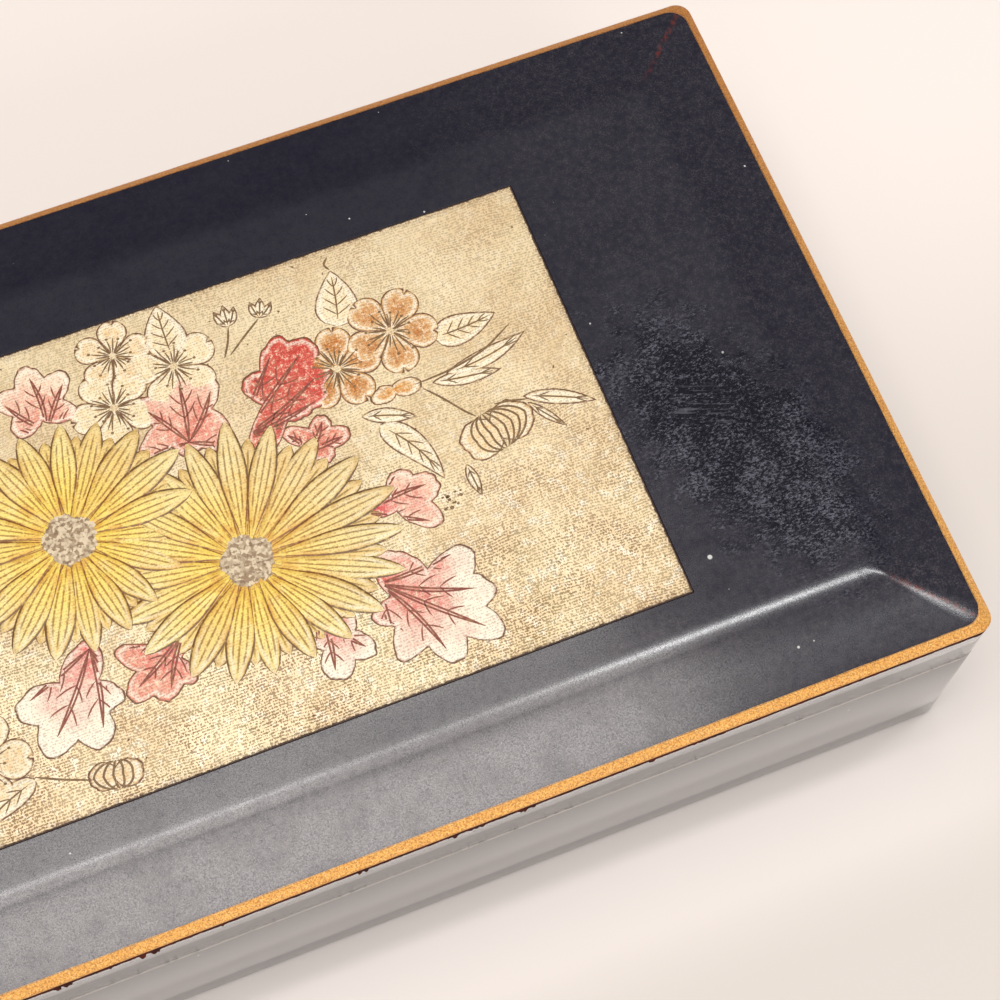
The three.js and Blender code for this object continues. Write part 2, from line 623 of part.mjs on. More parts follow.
// Lid, measured up from the lower edge of its skirt
function lidShell() {
  const goldFoot = SKIRT_HEIGHT - GOLD_DEPTH - GOLD_GAP;
  const goldInside = GOLD_WIDTH + GOLD_GAP;
  const outside = loft([
    { inset: 0, z: 0, radius: CORNER_RADIUS },
    { inset: 0, z: goldFoot, radius: CORNER_RADIUS },
    { inset: goldInside, z: goldFoot + GOLD_RISE, radius: GOLD_CORNER },
    { inset: goldInside, z: CROWN_START, radius: GOLD_CORNER },
    { inset: GOLD_WIDTH + BEVEL_WIDTH, z: LID_TOP, radius: BEVEL_CORNER },
  ].map(boxLoop));
  const hollow = block(-CAVITY_X, CAVITY_X, -CAVITY_Y, CAVITY_Y, -PAST, CEILING);
  const [x, y] = [PANEL_LENGTH / 2 + PANEL_GAP, PANEL_DEPTH / 2 + PANEL_GAP];
  const floor = LID_TOP + PANEL_PROUD - PANEL_THICKNESS;
  const seat = block(-x, x, PANEL_SHIFT - y, PANEL_SHIFT + y, floor, LID_TOP + PAST);
  const mortises = hingeSpots().map((spot) => leafMortise(spot, -PAST, LEAF_THICKNESS));
  const holes = hingeSpots().flatMap(hingeScrewSpots).map((spot) => {
    const hole = screw(HINGE_SCREW, SCREW_PLAY).rotateX(Math.PI);
    return hole.translate(spot, BACK - HINGE_SCREW_INSET, 0);
  });
  return cut(outside, hollow, seat, ...mortises, ...holes);
}

function goldBand() {
  return loft([
    { inset: 0, z: SKIRT_HEIGHT - GOLD_DEPTH, radius: CORNER_RADIUS },
    { inset: 0, z: SKIRT_HEIGHT, radius: CORNER_RADIUS },
    { inset: GOLD_WIDTH, z: CROWN_START, radius: GOLD_CORNER },
    { inset: GOLD_WIDTH, z: CROWN_START - GOLD_DEPTH, radius: GOLD_CORNER },
  ].map(boxLoop), true);
}

function inlayPanel() {
  const [x, y] = [PANEL_LENGTH / 2, PANEL_DEPTH / 2];
  const top = LID_TOP + PANEL_PROUD;
  return block(-x, x, PANEL_SHIFT - y, PANEL_SHIFT + y, top - PANEL_THICKNESS, top);
}

function lidLiner() {
  const [x, y] = [CAVITY_X - LINER_GAP, CAVITY_Y - LINER_GAP];
  const [windowX, windowY] = [MIRROR_LENGTH / 2 + LINER_GAP, MIRROR_DEPTH / 2 + LINER_GAP];
  const card = block(-x, x, -y, y, CEILING - LID_LINER, CEILING);
  return cut(card, block(-windowX, windowX, -windowY, windowY, 0, LID_TOP));
}

// The glass hangs face down: its bevelled edge is on the lower side
function mirrorGlass() {
  const [x, y] = [MIRROR_LENGTH / 2, MIRROR_DEPTH / 2];
  const rectangle = (inset, z) => [[1, 1], [-1, 1], [-1, -1], [1, -1]].map(([sx, sy]) => {
    return [sx * (x - inset), sy * (y - inset), z];
  });
  const bottom = CEILING - MIRROR_THICKNESS;
  return loft([
    rectangle(MIRROR_BEVEL_WIDTH, bottom),
    rectangle(0, bottom + MIRROR_BEVEL),
    rectangle(0, CEILING),
  ]);
}

// Movement, measured from the base board's top, with X along the cylinder
function bedplate() {
  const plate = raised(roundedRectangle(BED_RIGHT - BED_LEFT, BED_WIDTH, BED_CORNER), 0, BED_THICKNESS);
  plate.translate((BED_LEFT + BED_RIGHT) / 2, 0, 0);
  const half = LUG_WIDTH / 2;
  const lug = (x) => block(x, x + LUG_THICKNESS, -half, half, 0, AXIS_Z + LUG_HEAD);
  const rib = block(CYLINDER_LEFT, CYLINDER_RIGHT, -COMB_BACK, COMB_SEAT - COMB_BACK, 0, COMB_Z);
  const postFront = FAN_Y + STOP_LEVER_WIDTH;
  const leverMiddle = STOP_LEVER_Z + STOP_LEVER_HEIGHT / 2;
  const post = block(
    STOP_PIVOT_X - STOP_POST_WIDTH / 2, STOP_PIVOT_X + STOP_POST_WIDTH / 2,
    postFront, postFront + STOP_POST_THICKNESS, 0, leverMiddle + STOP_POST_WIDTH / 2,
  );
  const pivotEnd = FAN_Y - STOP_LEVER_WIDTH / 2 - STOP_PIVOT_END;
  const pivot = rod(STOP_PIVOT_RADIUS, pivotEnd, postFront + STOP_POST_THICKNESS / 2, FINE_SIDES, ALONG_Y);
  pivot.translate(STOP_PIVOT_X, 0, leverMiddle);
  const shaftHole = rod(CYLINDER_SHAFT + SHAFT_PLAY, 0, BED_RIGHT, FINE_SIDES, ALONG_X);
  shaftHole.translate(0, 0, AXIS_Z);
  const arborHole = rod(ARBOR_RADIUS + SHAFT_PLAY, -PAST, PAST, ROUND_SIDES).translate(BARREL_X, 0, 0);
  const screwHoles = BED_SCREW_SPOTS.map(([x, y]) => {
    return rod(BED_SCREW.shank + SCREW_PLAY, -PAST, PAST, SCREW_SIDES).translate(x, y, 0);
  });
  const combHoles = combScrewSpots().map(([x, y, z]) => screw(COMB_SCREW, SCREW_PLAY).translate(x, y, z));
  const casting = join(plate, lug(LUG_LEFT), lug(LUG_RIGHT), rib, post, pivot);
  return cut(casting, shaftHole, arborHole, ...screwHoles, ...combHoles);
}

function barrelGear() {
  const [inside, outside] = [ARBOR_RADIUS + SHAFT_PLAY, BARREL_PITCH_RADIUS + BARREL_TOOTH_LENGTH / 2];
  const profile = [
    [inside, BARREL_BOTTOM], [outside, BARREL_BOTTOM], [outside, DRUM_BOTTOM], [inside, DRUM_BOTTOM],
    [inside, BARREL_BOTTOM],
  ];
  const pitch = (2 * Math.PI * BARREL_PITCH_RADIUS) / BARREL_TEETH;
  const teeth = Array.from({ length: BARREL_TEETH }, (_, i) => {
    return barrelTooth(pitch).rotateZ(((i + 0.5) * 2 * Math.PI) / BARREL_TEETH);
  });
  return join(turned(profile, BARREL_TEETH), ...teeth);
}

// One upright tooth, pointing out along X, narrower at its top
function barrelTooth(pitch) {
  const inner = BARREL_PITCH_RADIUS - BARREL_TOOTH_LENGTH / 2;
  const outer = inner + BARREL_TOOTH_LENGTH - BARREL_LIFT / 2;
  const level = (share, z) => {
    const half = (share * pitch) / 2;
    return [[outer, half, z], [inner, half, z], [inner, -half, z], [outer, -half, z]];
  };
  return loft([
    level(TOOTH_AT_ROOT, DRUM_BOTTOM - BARREL_DISC / 2),
    level(TOOTH_AT_ROOT, DRUM_BOTTOM),
    level(TOOTH_AT_TIP, DRUM_BOTTOM + BARREL_TOOTH_HEIGHT),
  ]);
}

function drum() {
  const top = DRUM_BOTTOM + DRUM_HEIGHT;
  const inside = DRUM_RADIUS - DRUM_WALL;
  return turned([
    [inside, DRUM_BOTTOM], [DRUM_RADIUS, DRUM_BOTTOM], [DRUM_RADIUS, top], [0, top],
    [0, top - DRUM_WALL], [inside, top - DRUM_WALL], [inside, DRUM_BOTTOM],
  ], ROUND_SIDES);
}

// A flat strip wound round the arbor inside the drum
function mainspring() {
  const [bottom, top] = [DRUM_BOTTOM + SPRING_CLEARANCE, DRUM_BOTTOM + DRUM_HEIGHT - DRUM_WALL - SPRING_CLEARANCE];
  const start = ARBOR_RADIUS + SPRING_CLEARANCE;
  const end = DRUM_RADIUS - DRUM_WALL - SPRING_CLEARANCE - SPRING_THICKNESS;
  const steps = SPRING_TURNS * SPRING_STEPS;
  return loft(Array.from({ length: steps + 1 }, (_, i) => {
    const angle = (-2 * Math.PI * i) / SPRING_STEPS;
    const radius = start + ((end - start) * i) / steps;
    const at = (r, z) => [r * Math.cos(angle), r * Math.sin(angle), z];
    const far = radius + SPRING_THICKNESS;
    return [at(radius, bottom), at(far, bottom), at(far, top), at(radius, top)];
  }));
}

function windingArbor() {
  const top = DRUM_BOTTOM + DRUM_HEIGHT - DRUM_WALL - SPRING_CLEARANCE;
  return rod(ARBOR_RADIUS, -BASE_THICKNESS - ARBOR_BELOW_BASE, top, ROUND_SIDES);
}

// A butterfly key: a hub with two pierced wings
function windingKey() {
  const hubTop = -BASE_THICKNESS - KEY_CLEARANCE;
  const hubBottom = hubTop - KEY_HUB_HEIGHT;
  const wings = roundedRectangle(KEY_WIDTH, KEY_HEIGHT, KEY_CORNER);
  const plate = raised(wings, -KEY_THICKNESS / 2, KEY_THICKNESS / 2).applyMatrix4(UPRIGHT);
  plate.translate(0, 0, hubBottom);
  const hub = rod(KEY_HUB_RADIUS, hubBottom, hubTop, ROUND_SIDES);
  const socketBottom = -BASE_THICKNESS - ARBOR_BELOW_BASE - SHAFT_PLAY;
  const socket = rod(ARBOR_RADIUS + SHAFT_PLAY, socketBottom, 0, ROUND_SIDES);
  const eyeX = (KEY_WIDTH / 2 + KEY_HUB_RADIUS) / 2;
  const eyes = [-eyeX, eyeX].map((x) => {
    const eye = rod(KEY_HOLE_RADIUS, -KEY_WIDTH, KEY_WIDTH, FINE_SIDES, ALONG_Y);
    return eye.translate(x, 0, hubBottom);
  });
  return cut(join(hub, plate), socket, ...eyes);
}

// Cylinder with its pins, the pinion over the barrel's teeth and the wheel that drives the governor
function pinCylinder() {
  const addendum = BARREL_TOOTH_HEIGHT - BARREL_PITCH_HEIGHT;
  const half = BARREL_TOOTH_LENGTH / 2;
  const down = -Math.PI / 2;
  const pinionShape = gearShape(PINION_TEETH, PINION_RADIUS, addendum, BARREL_PITCH_HEIGHT, down);
  const pinion = raised(pinionShape, -half, half).applyMatrix4(ALONG_X);
  const wheelRight = WHEEL_LEFT + WHEEL_THICKNESS;
  const wheelShape = gearShape(WHEEL_TEETH, WHEEL_RADIUS, WHEEL_MODULE, WHEEL_MODULE + SHAFT_PLAY);
  const wheel = raised(wheelShape, WHEEL_LEFT, wheelRight).applyMatrix4(ALONG_X);
  const shaft = rod(CYLINDER_SHAFT, 0, wheelRight, FINE_SIDES, ALONG_X);
  const body = rod(CYLINDER_RADIUS, CYLINDER_LEFT, CYLINDER_RIGHT, ROUND_SIDES, ALONG_X);
  const geometry = join(shaft, pinion, body, wheel, ...cylinderPins());
  return geometry.translate(0, 0, AXIS_Z);
}

function cylinderPins() {
  const pitch = CYLINDER_LENGTH / NOTES;
  const half = PIN_WIDTH / 2;
  const [low, high] = [CYLINDER_RADIUS - PIN_HEIGHT, CYLINDER_RADIUS + PIN_HEIGHT];
  return Array.from({ length: NOTES * PINS_PER_NOTE }, (_, i) => {
    const note = i % NOTES;
    const x = CYLINDER_LEFT + (note + 0.5) * pitch;
    const turn = note * PIN_ANGLE_STEP + Math.floor(i / NOTES) * PIN_ANGLE_SPREAD;
    return block(x - half, x + half, -half, half, low, high).rotateX(THREE.MathUtils.degToRad(turn));
  });
}

function combScrewSpots() {
  const middle = (CYLINDER_LEFT + CYLINDER_RIGHT) / 2;
  const z = COMB_Z + COMB_THICKNESS + COMB_SCREW.headHeight;
  return [-1, 1].map((side) => [middle + (side * COMB_SCREW_SPACING) / 2, COMB_SCREW_INSET - COMB_BACK, z]);
}

function comb() {
  const shape = new THREE.Shape();
  const pitch = CYLINDER_LENGTH / NOTES;
  shape.moveTo(CYLINDER_LEFT, -COMB_BACK);
  shape.lineTo(CYLINDER_RIGHT, -COMB_BACK);
  for (let note = NOTES - 1; note >= 0; note--) {
    const right = CYLINDER_LEFT + (note + 1) * pitch - COMB_SLOT / 2;
    const left = CYLINDER_LEFT + note * pitch + COMB_SLOT / 2;
    const root = -COMB_ROOT_NEAR - (NOTES - note) * COMB_ROOT_SLANT;
    shape.lineTo(note === NOTES - 1 ? CYLINDER_RIGHT : right, root);
    shape.lineTo(note === NOTES - 1 ? CYLINDER_RIGHT : right, -COMB_TIP);
    shape.lineTo(note === 0 ? CYLINDER_LEFT : left, -COMB_TIP);
    if (note > 0) shape.lineTo(left, root);
  }
  const plate = raised(shape, COMB_Z, COMB_Z + COMB_THICKNESS);
  return cut(plate, ...combScrewSpots().map(([x, y, z]) => {
    return rod(COMB_SCREW.shank + SCREW_PLAY, z - BED_WIDTH, z, SCREW_SIDES).translate(x, y, 0);
  }));
}

function governorBracket() {
  const [left, right] = [BRACKET_LEFT, BRACKET_RIGHT];
  const armTop = AXIS_Z + LUG_HEAD;
  const foot = block(left, right, BRACKET_FRONT, BRACKET_BACK, BED_THICKNESS, BED_THICKNESS + BRACKET_PLATE);
  const arm = (x) => {
    return block(x, x + BRACKET_PLATE, BRACKET_FRONT, BRACKET_FRONT + BRACKET_ARM, BED_THICKNESS, armTop);
  };
  const top = BRACKET_TOP + BRACKET_PLATE;
  const back = block(left, right, BRACKET_BACK - BRACKET_PLATE, BRACKET_BACK, BED_THICKNESS, top);
  const bridgeFront = FAN_Y - BRACKET_TOP_ARM / 2;
  const bridgeHalf = BRACKET_TOP_ARM / 2;
  const bridge = block(
    WORM_WHEEL_X - bridgeHalf, WORM_WHEEL_X + bridgeHalf, bridgeFront, BRACKET_BACK, BRACKET_TOP, top,
  );
  const hole = THIN_SHAFT + SHAFT_PLAY;
  const wheelHole = rod(hole, left - PAST, right + PAST, FINE_SIDES, ALONG_X).translate(0, GOVERNOR_Y, AXIS_Z);
  const fanHole = rod(hole, 0, top + PAST, FINE_SIDES).translate(WORM_WHEEL_X, FAN_Y, 0);
  return cut(join(foot, arm(left), arm(right - BRACKET_PLATE), back, bridge), wheelHole, fanHole);
}

function governorWheel() {
  const shape = gearShape(WORM_WHEEL_TEETH, WORM_WHEEL_RADIUS, WORM_WHEEL_ADDENDUM, WORM_WHEEL_DEDENDUM);
  const half = WORM_WHEEL_THICKNESS / 2;
  const wheel = raised(shape, WORM_WHEEL_X - half, WORM_WHEEL_X + half).applyMatrix4(ALONG_X);
  const halfTooth = Math.PI / GOVERNOR_PINION_TEETH;
  const pinionShape = gearShape(
    GOVERNOR_PINION_TEETH, GOVERNOR_PINION_RADIUS, WHEEL_MODULE, WHEEL_MODULE + SHAFT_PLAY, halfTooth,
  );
  const play = SHAFT_PLAY;
  const pinion = raised(pinionShape, WHEEL_LEFT - play, WHEEL_LEFT + WHEEL_THICKNESS + play);
  const shaft = rod(THIN_SHAFT, BRACKET_LEFT, BRACKET_RIGHT, FINE_SIDES, ALONG_X);
  const geometry = join(shaft, wheel, pinion.applyMatrix4(ALONG_X));
  return geometry.translate(0, GOVERNOR_Y, AXIS_Z);
}

// The worm's thread: a ridge wound round its core, in a gap of the wheel where they meet
function wormThread() {
  const steps = WORM_TURNS * WORM_STEPS;
  const reach = WORM_RADIUS + WORM_REACH;
  const inside = WORM_CORE - SHAFT_PLAY;
  const half = WORM_THREAD / 2;
  const towardsWheel = -Math.PI / 2;
  return loft(Array.from({ length: steps + 1 }, (_, i) => {
    const turn = i / WORM_STEPS - (WORM_TURNS + 1) / 2;
    const angle = towardsWheel + 2 * Math.PI * turn;
    const z = WORM_PITCH * (turn + 0.5);
    const at = (r, dz) => [r * Math.cos(angle), r * Math.sin(angle), z + dz];
    return [at(inside, -half), at(inside, half), at(reach, half / 2), at(reach, -half / 2)];
  }));
}

function governorFan() {
  const shaft = rod(THIN_SHAFT, BED_THICKNESS + FAN_FOOT_GAP, BRACKET_TOP + BRACKET_PLATE, FINE_SIDES);
  const wormHalf = ((WORM_TURNS + 1) * WORM_PITCH) / 2;
  const core = rod(WORM_CORE, AXIS_Z - wormHalf, AXIS_Z + wormHalf, FINE_SIDES);
  const hub = rod(FAN_HUB, FAN_BOTTOM, FAN_BOTTOM + FAN_HEIGHT, FINE_SIDES);
  const half = FAN_THICKNESS / 2;
  const wings = block(-FAN_RADIUS, FAN_RADIUS, -half, half, FAN_BOTTOM, FAN_BOTTOM + FAN_HEIGHT);
  return join(shaft, core, wormThread().translate(0, 0, AXIS_Z), hub, wings);
}

// The lever turns on the bedplate's post: the rod presses its long arm, its short arm meets the fan
function stopLever() {
  const tip = WORM_WHEEL_X - FAN_RADIUS - STOP_FAN_GAP;
  const half = STOP_LEVER_WIDTH / 2;
  const middle = STOP_LEVER_Z + STOP_LEVER_HEIGHT / 2;
  const bar = block(
    STOP_ROD_X - STOP_LEVER_TAIL, tip, -half, half, STOP_LEVER_Z, STOP_LEVER_Z + STOP_LEVER_HEIGHT,
  );
  const boss = rod(STOP_BOSS_RADIUS, -half, half, ROUND_SIDES, ALONG_Y).translate(STOP_PIVOT_X, 0, middle);
  const hole = rod(STOP_PIVOT_RADIUS + SHAFT_PLAY, -PAST, PAST, FINE_SIDES, ALONG_Y);
  return cut(join(bar, boss), hole.translate(STOP_PIVOT_X, 0, middle));
}

function stopRod() {
  const bottom = STOP_LEVER_Z + STOP_LEVER_HEIGHT + STOP_ROD_GAP;
  const top = LID_LINER_Z - STOP_ROD_GAP;
  return turned([
    [0, bottom], [STOP_ROD_RADIUS, bottom], [STOP_ROD_RADIUS, top - STOP_CAP_HEIGHT],
    [STOP_CAP_RADIUS, top - STOP_CAP_HEIGHT], [STOP_CAP_RADIUS, top - STOP_ROD_RADIUS],
    [STOP_CAP_RADIUS - STOP_ROD_RADIUS, top], [0, top],
  ], FINE_SIDES);
}

function stopBush() {
  const [bottom, top] = [COVER_HEIGHT - COVER_WALL, COVER_HEIGHT];
  const bore = STOP_ROD_RADIUS + BUSH_PLAY;
  return turned([
    [bore, bottom], [BUSH_RADIUS, bottom], [BUSH_RADIUS, top], [BUSH_FLANGE_RADIUS, top],
    [BUSH_FLANGE_RADIUS, top + BUSH_FLANGE_HEIGHT], [bore, top + BUSH_FLANGE_HEIGHT], [bore, bottom],
  ], FINE_SIDES);
}

function movementCover() {
  const [x, y] = [BAY_LENGTH / 2 - COVER_GAP, BAY_DEPTH / 2 - COVER_GAP];
  const outside = block(-x, x, -y, y, 0, COVER_HEIGHT);
  const [innerX, innerY] = [x - COVER_WALL, y - COVER_WALL];
  const inside = block(-innerX, innerX, -innerY, innerY, -PAST, COVER_HEIGHT - COVER_WALL);
  const hole = rod(BUSH_RADIUS + BUSH_PLAY, 0, COVER_HEIGHT + PAST, ROUND_SIDES);
  return cut(outside, inside, hole.translate(STOP_ROD_X, FAN_Y, 0));
}

function at(mesh, x, y, z) {
  mesh.position.set(x, y, z);
  return mesh;
}

function movement() {
  const bedScrews = BED_SCREW_SPOTS.map(([x, y], i) => {
    const geometry = screw({ ...BED_SCREW, length: BASE_THICKNESS + BED_THICKNESS - BED_SCREW_SHORT });
    geometry.rotateX(Math.PI).translate(x, y, -BASE_THICKNESS - BED_SCREW.headHeight);
    return piece("movement_screw_" + (i + 1), geometry, FINISH.steel);
  });
  const combScrews = combScrewSpots().map(([x, y, z], i) => {
    return at(piece("comb_screw_" + (i + 1), screw(COMB_SCREW), FINISH.brass), x, y, z);
  });
  return groupAt(
    MOVEMENT_X, MOVEMENT_Y, FLOOR_Z,
    piece("movement_bedplate", bedplate(), FINISH.zinc),
    at(piece("barrel_gear", barrelGear(), FINISH.brass), BARREL_X, 0, 0),
    at(piece("spring_drum", drum(), FINISH.brass), BARREL_X, 0, 0),
    at(piece("mainspring", mainspring(), FINISH.steel), BARREL_X, 0, 0),
    at(piece("winding_arbor", windingArbor(), FINISH.steel), BARREL_X, 0, 0),
    at(piece("winding_key", windingKey(), FINISH.brass), BARREL_X, 0, 0),
    piece("pin_cylinder", pinCylinder(), FINISH.brass),
    piece("comb", comb(), FINISH.steel),
    piece("governor_bracket", governorBracket(), FINISH.zinc),
    piece("governor_wheel", governorWheel(), FINISH.brass),
    at(piece("governor_fan", governorFan(), FINISH.steel), WORM_WHEEL_X, FAN_Y, 0),
    at(piece("stop_lever", stopLever(), FINISH.steel), 0, FAN_Y, 0),
    at(piece("stop_rod", stopRod(), FINISH.steel), STOP_ROD_X, FAN_Y, 0),
    at(piece("stop_rod_bush", stopBush(), FINISH.brass), STOP_ROD_X, FAN_Y, 0),
    piece("movement_cover", movementCover(), FINISH.clear),
    ...bedScrews,
    ...combScrews,
  );
}

function body() {
  return groupAt(
    0, 0, 0,
    piece("body_case", bodyCase(), FINISH.lacquer),
    piece("base_board", baseBoard(), FINISH.board),
    piece("wall_liner", wallLiner(), FINISH.velvet),
    piece("floor_liner", floorLiner(), FINISH.velvet),
    ...cornerPieces(),
    ...dividers(),
    ...ringRolls(),
  );
}

function lid() {
  return groupAt(
    0, 0, LID_BOTTOM,
    piece("lid_shell", lidShell(), FINISH.lacquer),
    piece("gold_edge_band", goldBand(), FINISH.gilt),
    piece("inlay_panel", inlayPanel(), FINISH.panel),
    piece("lid_liner", lidLiner(), FINISH.satin),
    piece("mirror", mirrorGlass(), FINISH.mirror),
  );
}

const jewelryBox = groupAt(
  0, -HINGE_PROUD / 2, 0,
  body(),
  lid(),
  movement(),
  hinge("left", -HINGE_X),
  hinge("right", HINGE_X),
);

export default jewelryBox;
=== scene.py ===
import math
import random

import bmesh
import bpy
from bpy.props import FloatProperty, FloatVectorProperty, IntProperty, PointerProperty
from mathutils import Matrix, Vector, noise
from mathutils.bvhtree import BVHTree


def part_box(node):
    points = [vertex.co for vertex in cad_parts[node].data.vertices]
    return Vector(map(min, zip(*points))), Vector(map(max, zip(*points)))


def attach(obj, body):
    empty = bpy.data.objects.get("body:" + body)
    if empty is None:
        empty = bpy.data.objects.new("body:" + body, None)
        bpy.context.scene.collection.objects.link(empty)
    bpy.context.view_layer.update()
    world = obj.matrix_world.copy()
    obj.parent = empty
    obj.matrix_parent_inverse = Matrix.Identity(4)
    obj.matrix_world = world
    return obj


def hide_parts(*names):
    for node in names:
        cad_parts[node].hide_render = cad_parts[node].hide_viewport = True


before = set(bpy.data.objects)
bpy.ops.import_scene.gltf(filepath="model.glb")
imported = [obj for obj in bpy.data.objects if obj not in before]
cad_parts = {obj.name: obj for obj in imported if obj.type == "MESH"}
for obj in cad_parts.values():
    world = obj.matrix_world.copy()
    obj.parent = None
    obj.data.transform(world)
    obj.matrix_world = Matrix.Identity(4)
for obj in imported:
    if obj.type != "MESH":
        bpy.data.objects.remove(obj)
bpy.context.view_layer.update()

bl_info = {
    "name": "Musical Jewelry Box",
    "version": (1, 0, 0),
    "blender": (4, 5, 0),
    "location": "View3D > Sidebar > Jewelry Box",
    "description": "Builds a lacquered musical jewelry box with a gilt edge and an engraved panel of flowers",
    "category": "Object",
}

# Lengths are in millimetres until a mesh is made.
MM = 0.001


def node_box(node):
    """A CAD node's lowest and highest corner, in millimetres."""
    low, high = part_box(node)
    return low / MM, high / MM


LID_LOW, LID_HIGH = node_box("lid_shell")
CASE_LOW, CASE_HIGH = node_box("body_case")
BAND_LOW, BAND_HIGH = node_box("gold_edge_band")
PANEL_LOW, PANEL_HIGH = node_box("inlay_panel")
HALF_LENGTH = (LID_HIGH.x - LID_LOW.x) / 2
HALF_DEPTH = (LID_HIGH.y - LID_LOW.y) / 2
LID_MIDDLE = (0.0, (LID_HIGH.y + LID_LOW.y) / 2)
PANEL_MIDDLE = (0.0, (PANEL_HIGH.y + PANEL_LOW.y) / 2)
PANEL_HALF = ((PANEL_HIGH.x - PANEL_LOW.x) / 2, (PANEL_HIGH.y - PANEL_LOW.y) / 2)
CORNER = 3.0
WALL = 7.0
CEILING = 48.0
GILT_INSET = 1.6
UNDERCOAT_DROP = 4.2
LEAF_ROOM = 0.15
MORTISE_DEPTH = 6.15
MORTISE_BEYOND = 9
LINING_SIDES = (90, 50)
GROUND = PANEL_HIGH.z - 0.25
# Where a finish starts and ends its change to the look of the front wall
FRONT_WALL = (-69.5, -71.0)


def tone(red, green, blue):
    """A colour written as it shows on screen, 0 to 255, as Blender's linear values."""
    shares = [value / 255 for value in (red, green, blue)]
    return tuple(s / 12.92 if s <= 0.04045 else ((s + 0.055) / 1.055) ** 2.4 for s in shares)


def blend_tones(first, second, share):
    """A colour between two others."""
    share = min(max(share, 0.0), 1.0)
    return tuple(a + (b - a) * share for a, b in zip(first, second))


class BoxSizes(bpy.types.PropertyGroup):
    """Sizes of the lacquer work and of the flowers, in millimetres and degrees."""

    crown_slope: FloatProperty(
        name="Crown slope", description="Rise of the lid's border for each millimetre inward",
        default=0.13, min=0.02, max=0.4)
    crown_round: FloatProperty(
        name="Crown round", description="Extra slope where the border leaves the gilt edge", default=0.04)
    ridge_slope: FloatProperty(
        name="Ridge slope", description="Slope just before the soft ridge round the field", default=0.195)
    ridge_start: FloatProperty(
        name="Ridge start", description="How far in from the edge the soft ridge starts, in mm", default=14.6)
    field_start: FloatProperty(
        name="Field start", description="How far in from the edge the flat field starts, in mm", default=18.8)
    gilt_waver: FloatProperty(
        name="Gilt waver", description="How far the painted edge strays from its line, in mm", default=0.12)
    petal_reach: FloatProperty(
        name="Petal reach", description="Usual distance from a heart's middle to a tip, in mm", default=27.0)
    petal_width: FloatProperty(
        name="Petal width", description="Widest breadth of a chrysanthemum petal, in mm", default=5.3)
    heart_radius: FloatProperty(
        name="Heart radius", description="Radius of a chrysanthemum's heart, in mm", default=4.7)
    heart_grain: FloatProperty(
        name="Heart grain", description="Radius of one grain of the heart, in mm", default=0.36)
    line_width: FloatProperty(
        name="Line width", description="Width of an engraved line, in mm", default=0.36)
    seed: IntProperty(name="Seed", description="Seed of all that is uneven by hand", default=11, min=0)
    roll_cap: FloatProperty(
        name="Roll swell", description="How far the filling may swell a ring roll, in mm", default=0.55)


class BoxColours(bpy.types.PropertyGroup):
    """Colours of the finishes."""

    lacquer: FloatVectorProperty(
        name="Lacquer", description="Black lacquer", subtype="COLOR", default=tone(19, 17, 32))
    gilt: FloatVectorProperty(
        name="Gilt edge", description="Gold lacquer of the edge", subtype="COLOR", default=tone(255, 190, 98))
    panel: FloatVectorProperty(
        name="Panel", description="Pale gold of the panel", subtype="COLOR", default=tone(246, 226, 184))
    ink: FloatVectorProperty(
        name="Ink", description="Brown of the engraved lines", subtype="COLOR", default=tone(112, 84, 46))
    petal: FloatVectorProperty(
        name="Petal", description="Yellow of the petals", subtype="COLOR", default=tone(252, 224, 100))
    petal_tip: FloatVectorProperty(
        name="Petal tip", description="Cream of the tips", subtype="COLOR", default=tone(244, 225, 164))
    velvet: FloatVectorProperty(
        name="Velvet", description="Red velvet of the lining", subtype="COLOR", default=tone(120, 14, 30))
    floor: FloatVectorProperty(
        name="Floor", description="Pale floor", subtype="COLOR", default=tone(225, 218, 210))


class BoxSettings(bpy.types.PropertyGroup):
    """All settings of the jewelry box."""

    sizes: PointerProperty(type=BoxSizes)
    colours: PointerProperty(type=BoxColours)


def settings():
    """The jewelry box's settings in this scene."""
    return bpy.context.scene.jewelry_box


# Node trees

class Value:
    """A node's output, whose number can stand in plain arithmetic."""

    def __init__(self, wiring, socket):
        self.wiring = wiring
        self.socket = socket

    def __add__(self, other):
        return self.wiring.math("ADD", self, other)

    def __radd__(self, other):
        return self.wiring.math("ADD", other, self)

    def __sub__(self, other):
        return self.wiring.math("SUBTRACT", self, other)

    def __rsub__(self, other):
        return self.wiring.math("SUBTRACT", other, self)

    def __mul__(self, other):
        return self.wiring.math("MULTIPLY", self, other)

    def __truediv__(self, other):
        return self.wiring.math("DIVIDE", self, other)

    def __rtruediv__(self, other):
        return self.wiring.math("DIVIDE", other, self)

    def __abs__(self):
        return self.wiring.math("ABSOLUTE", self)


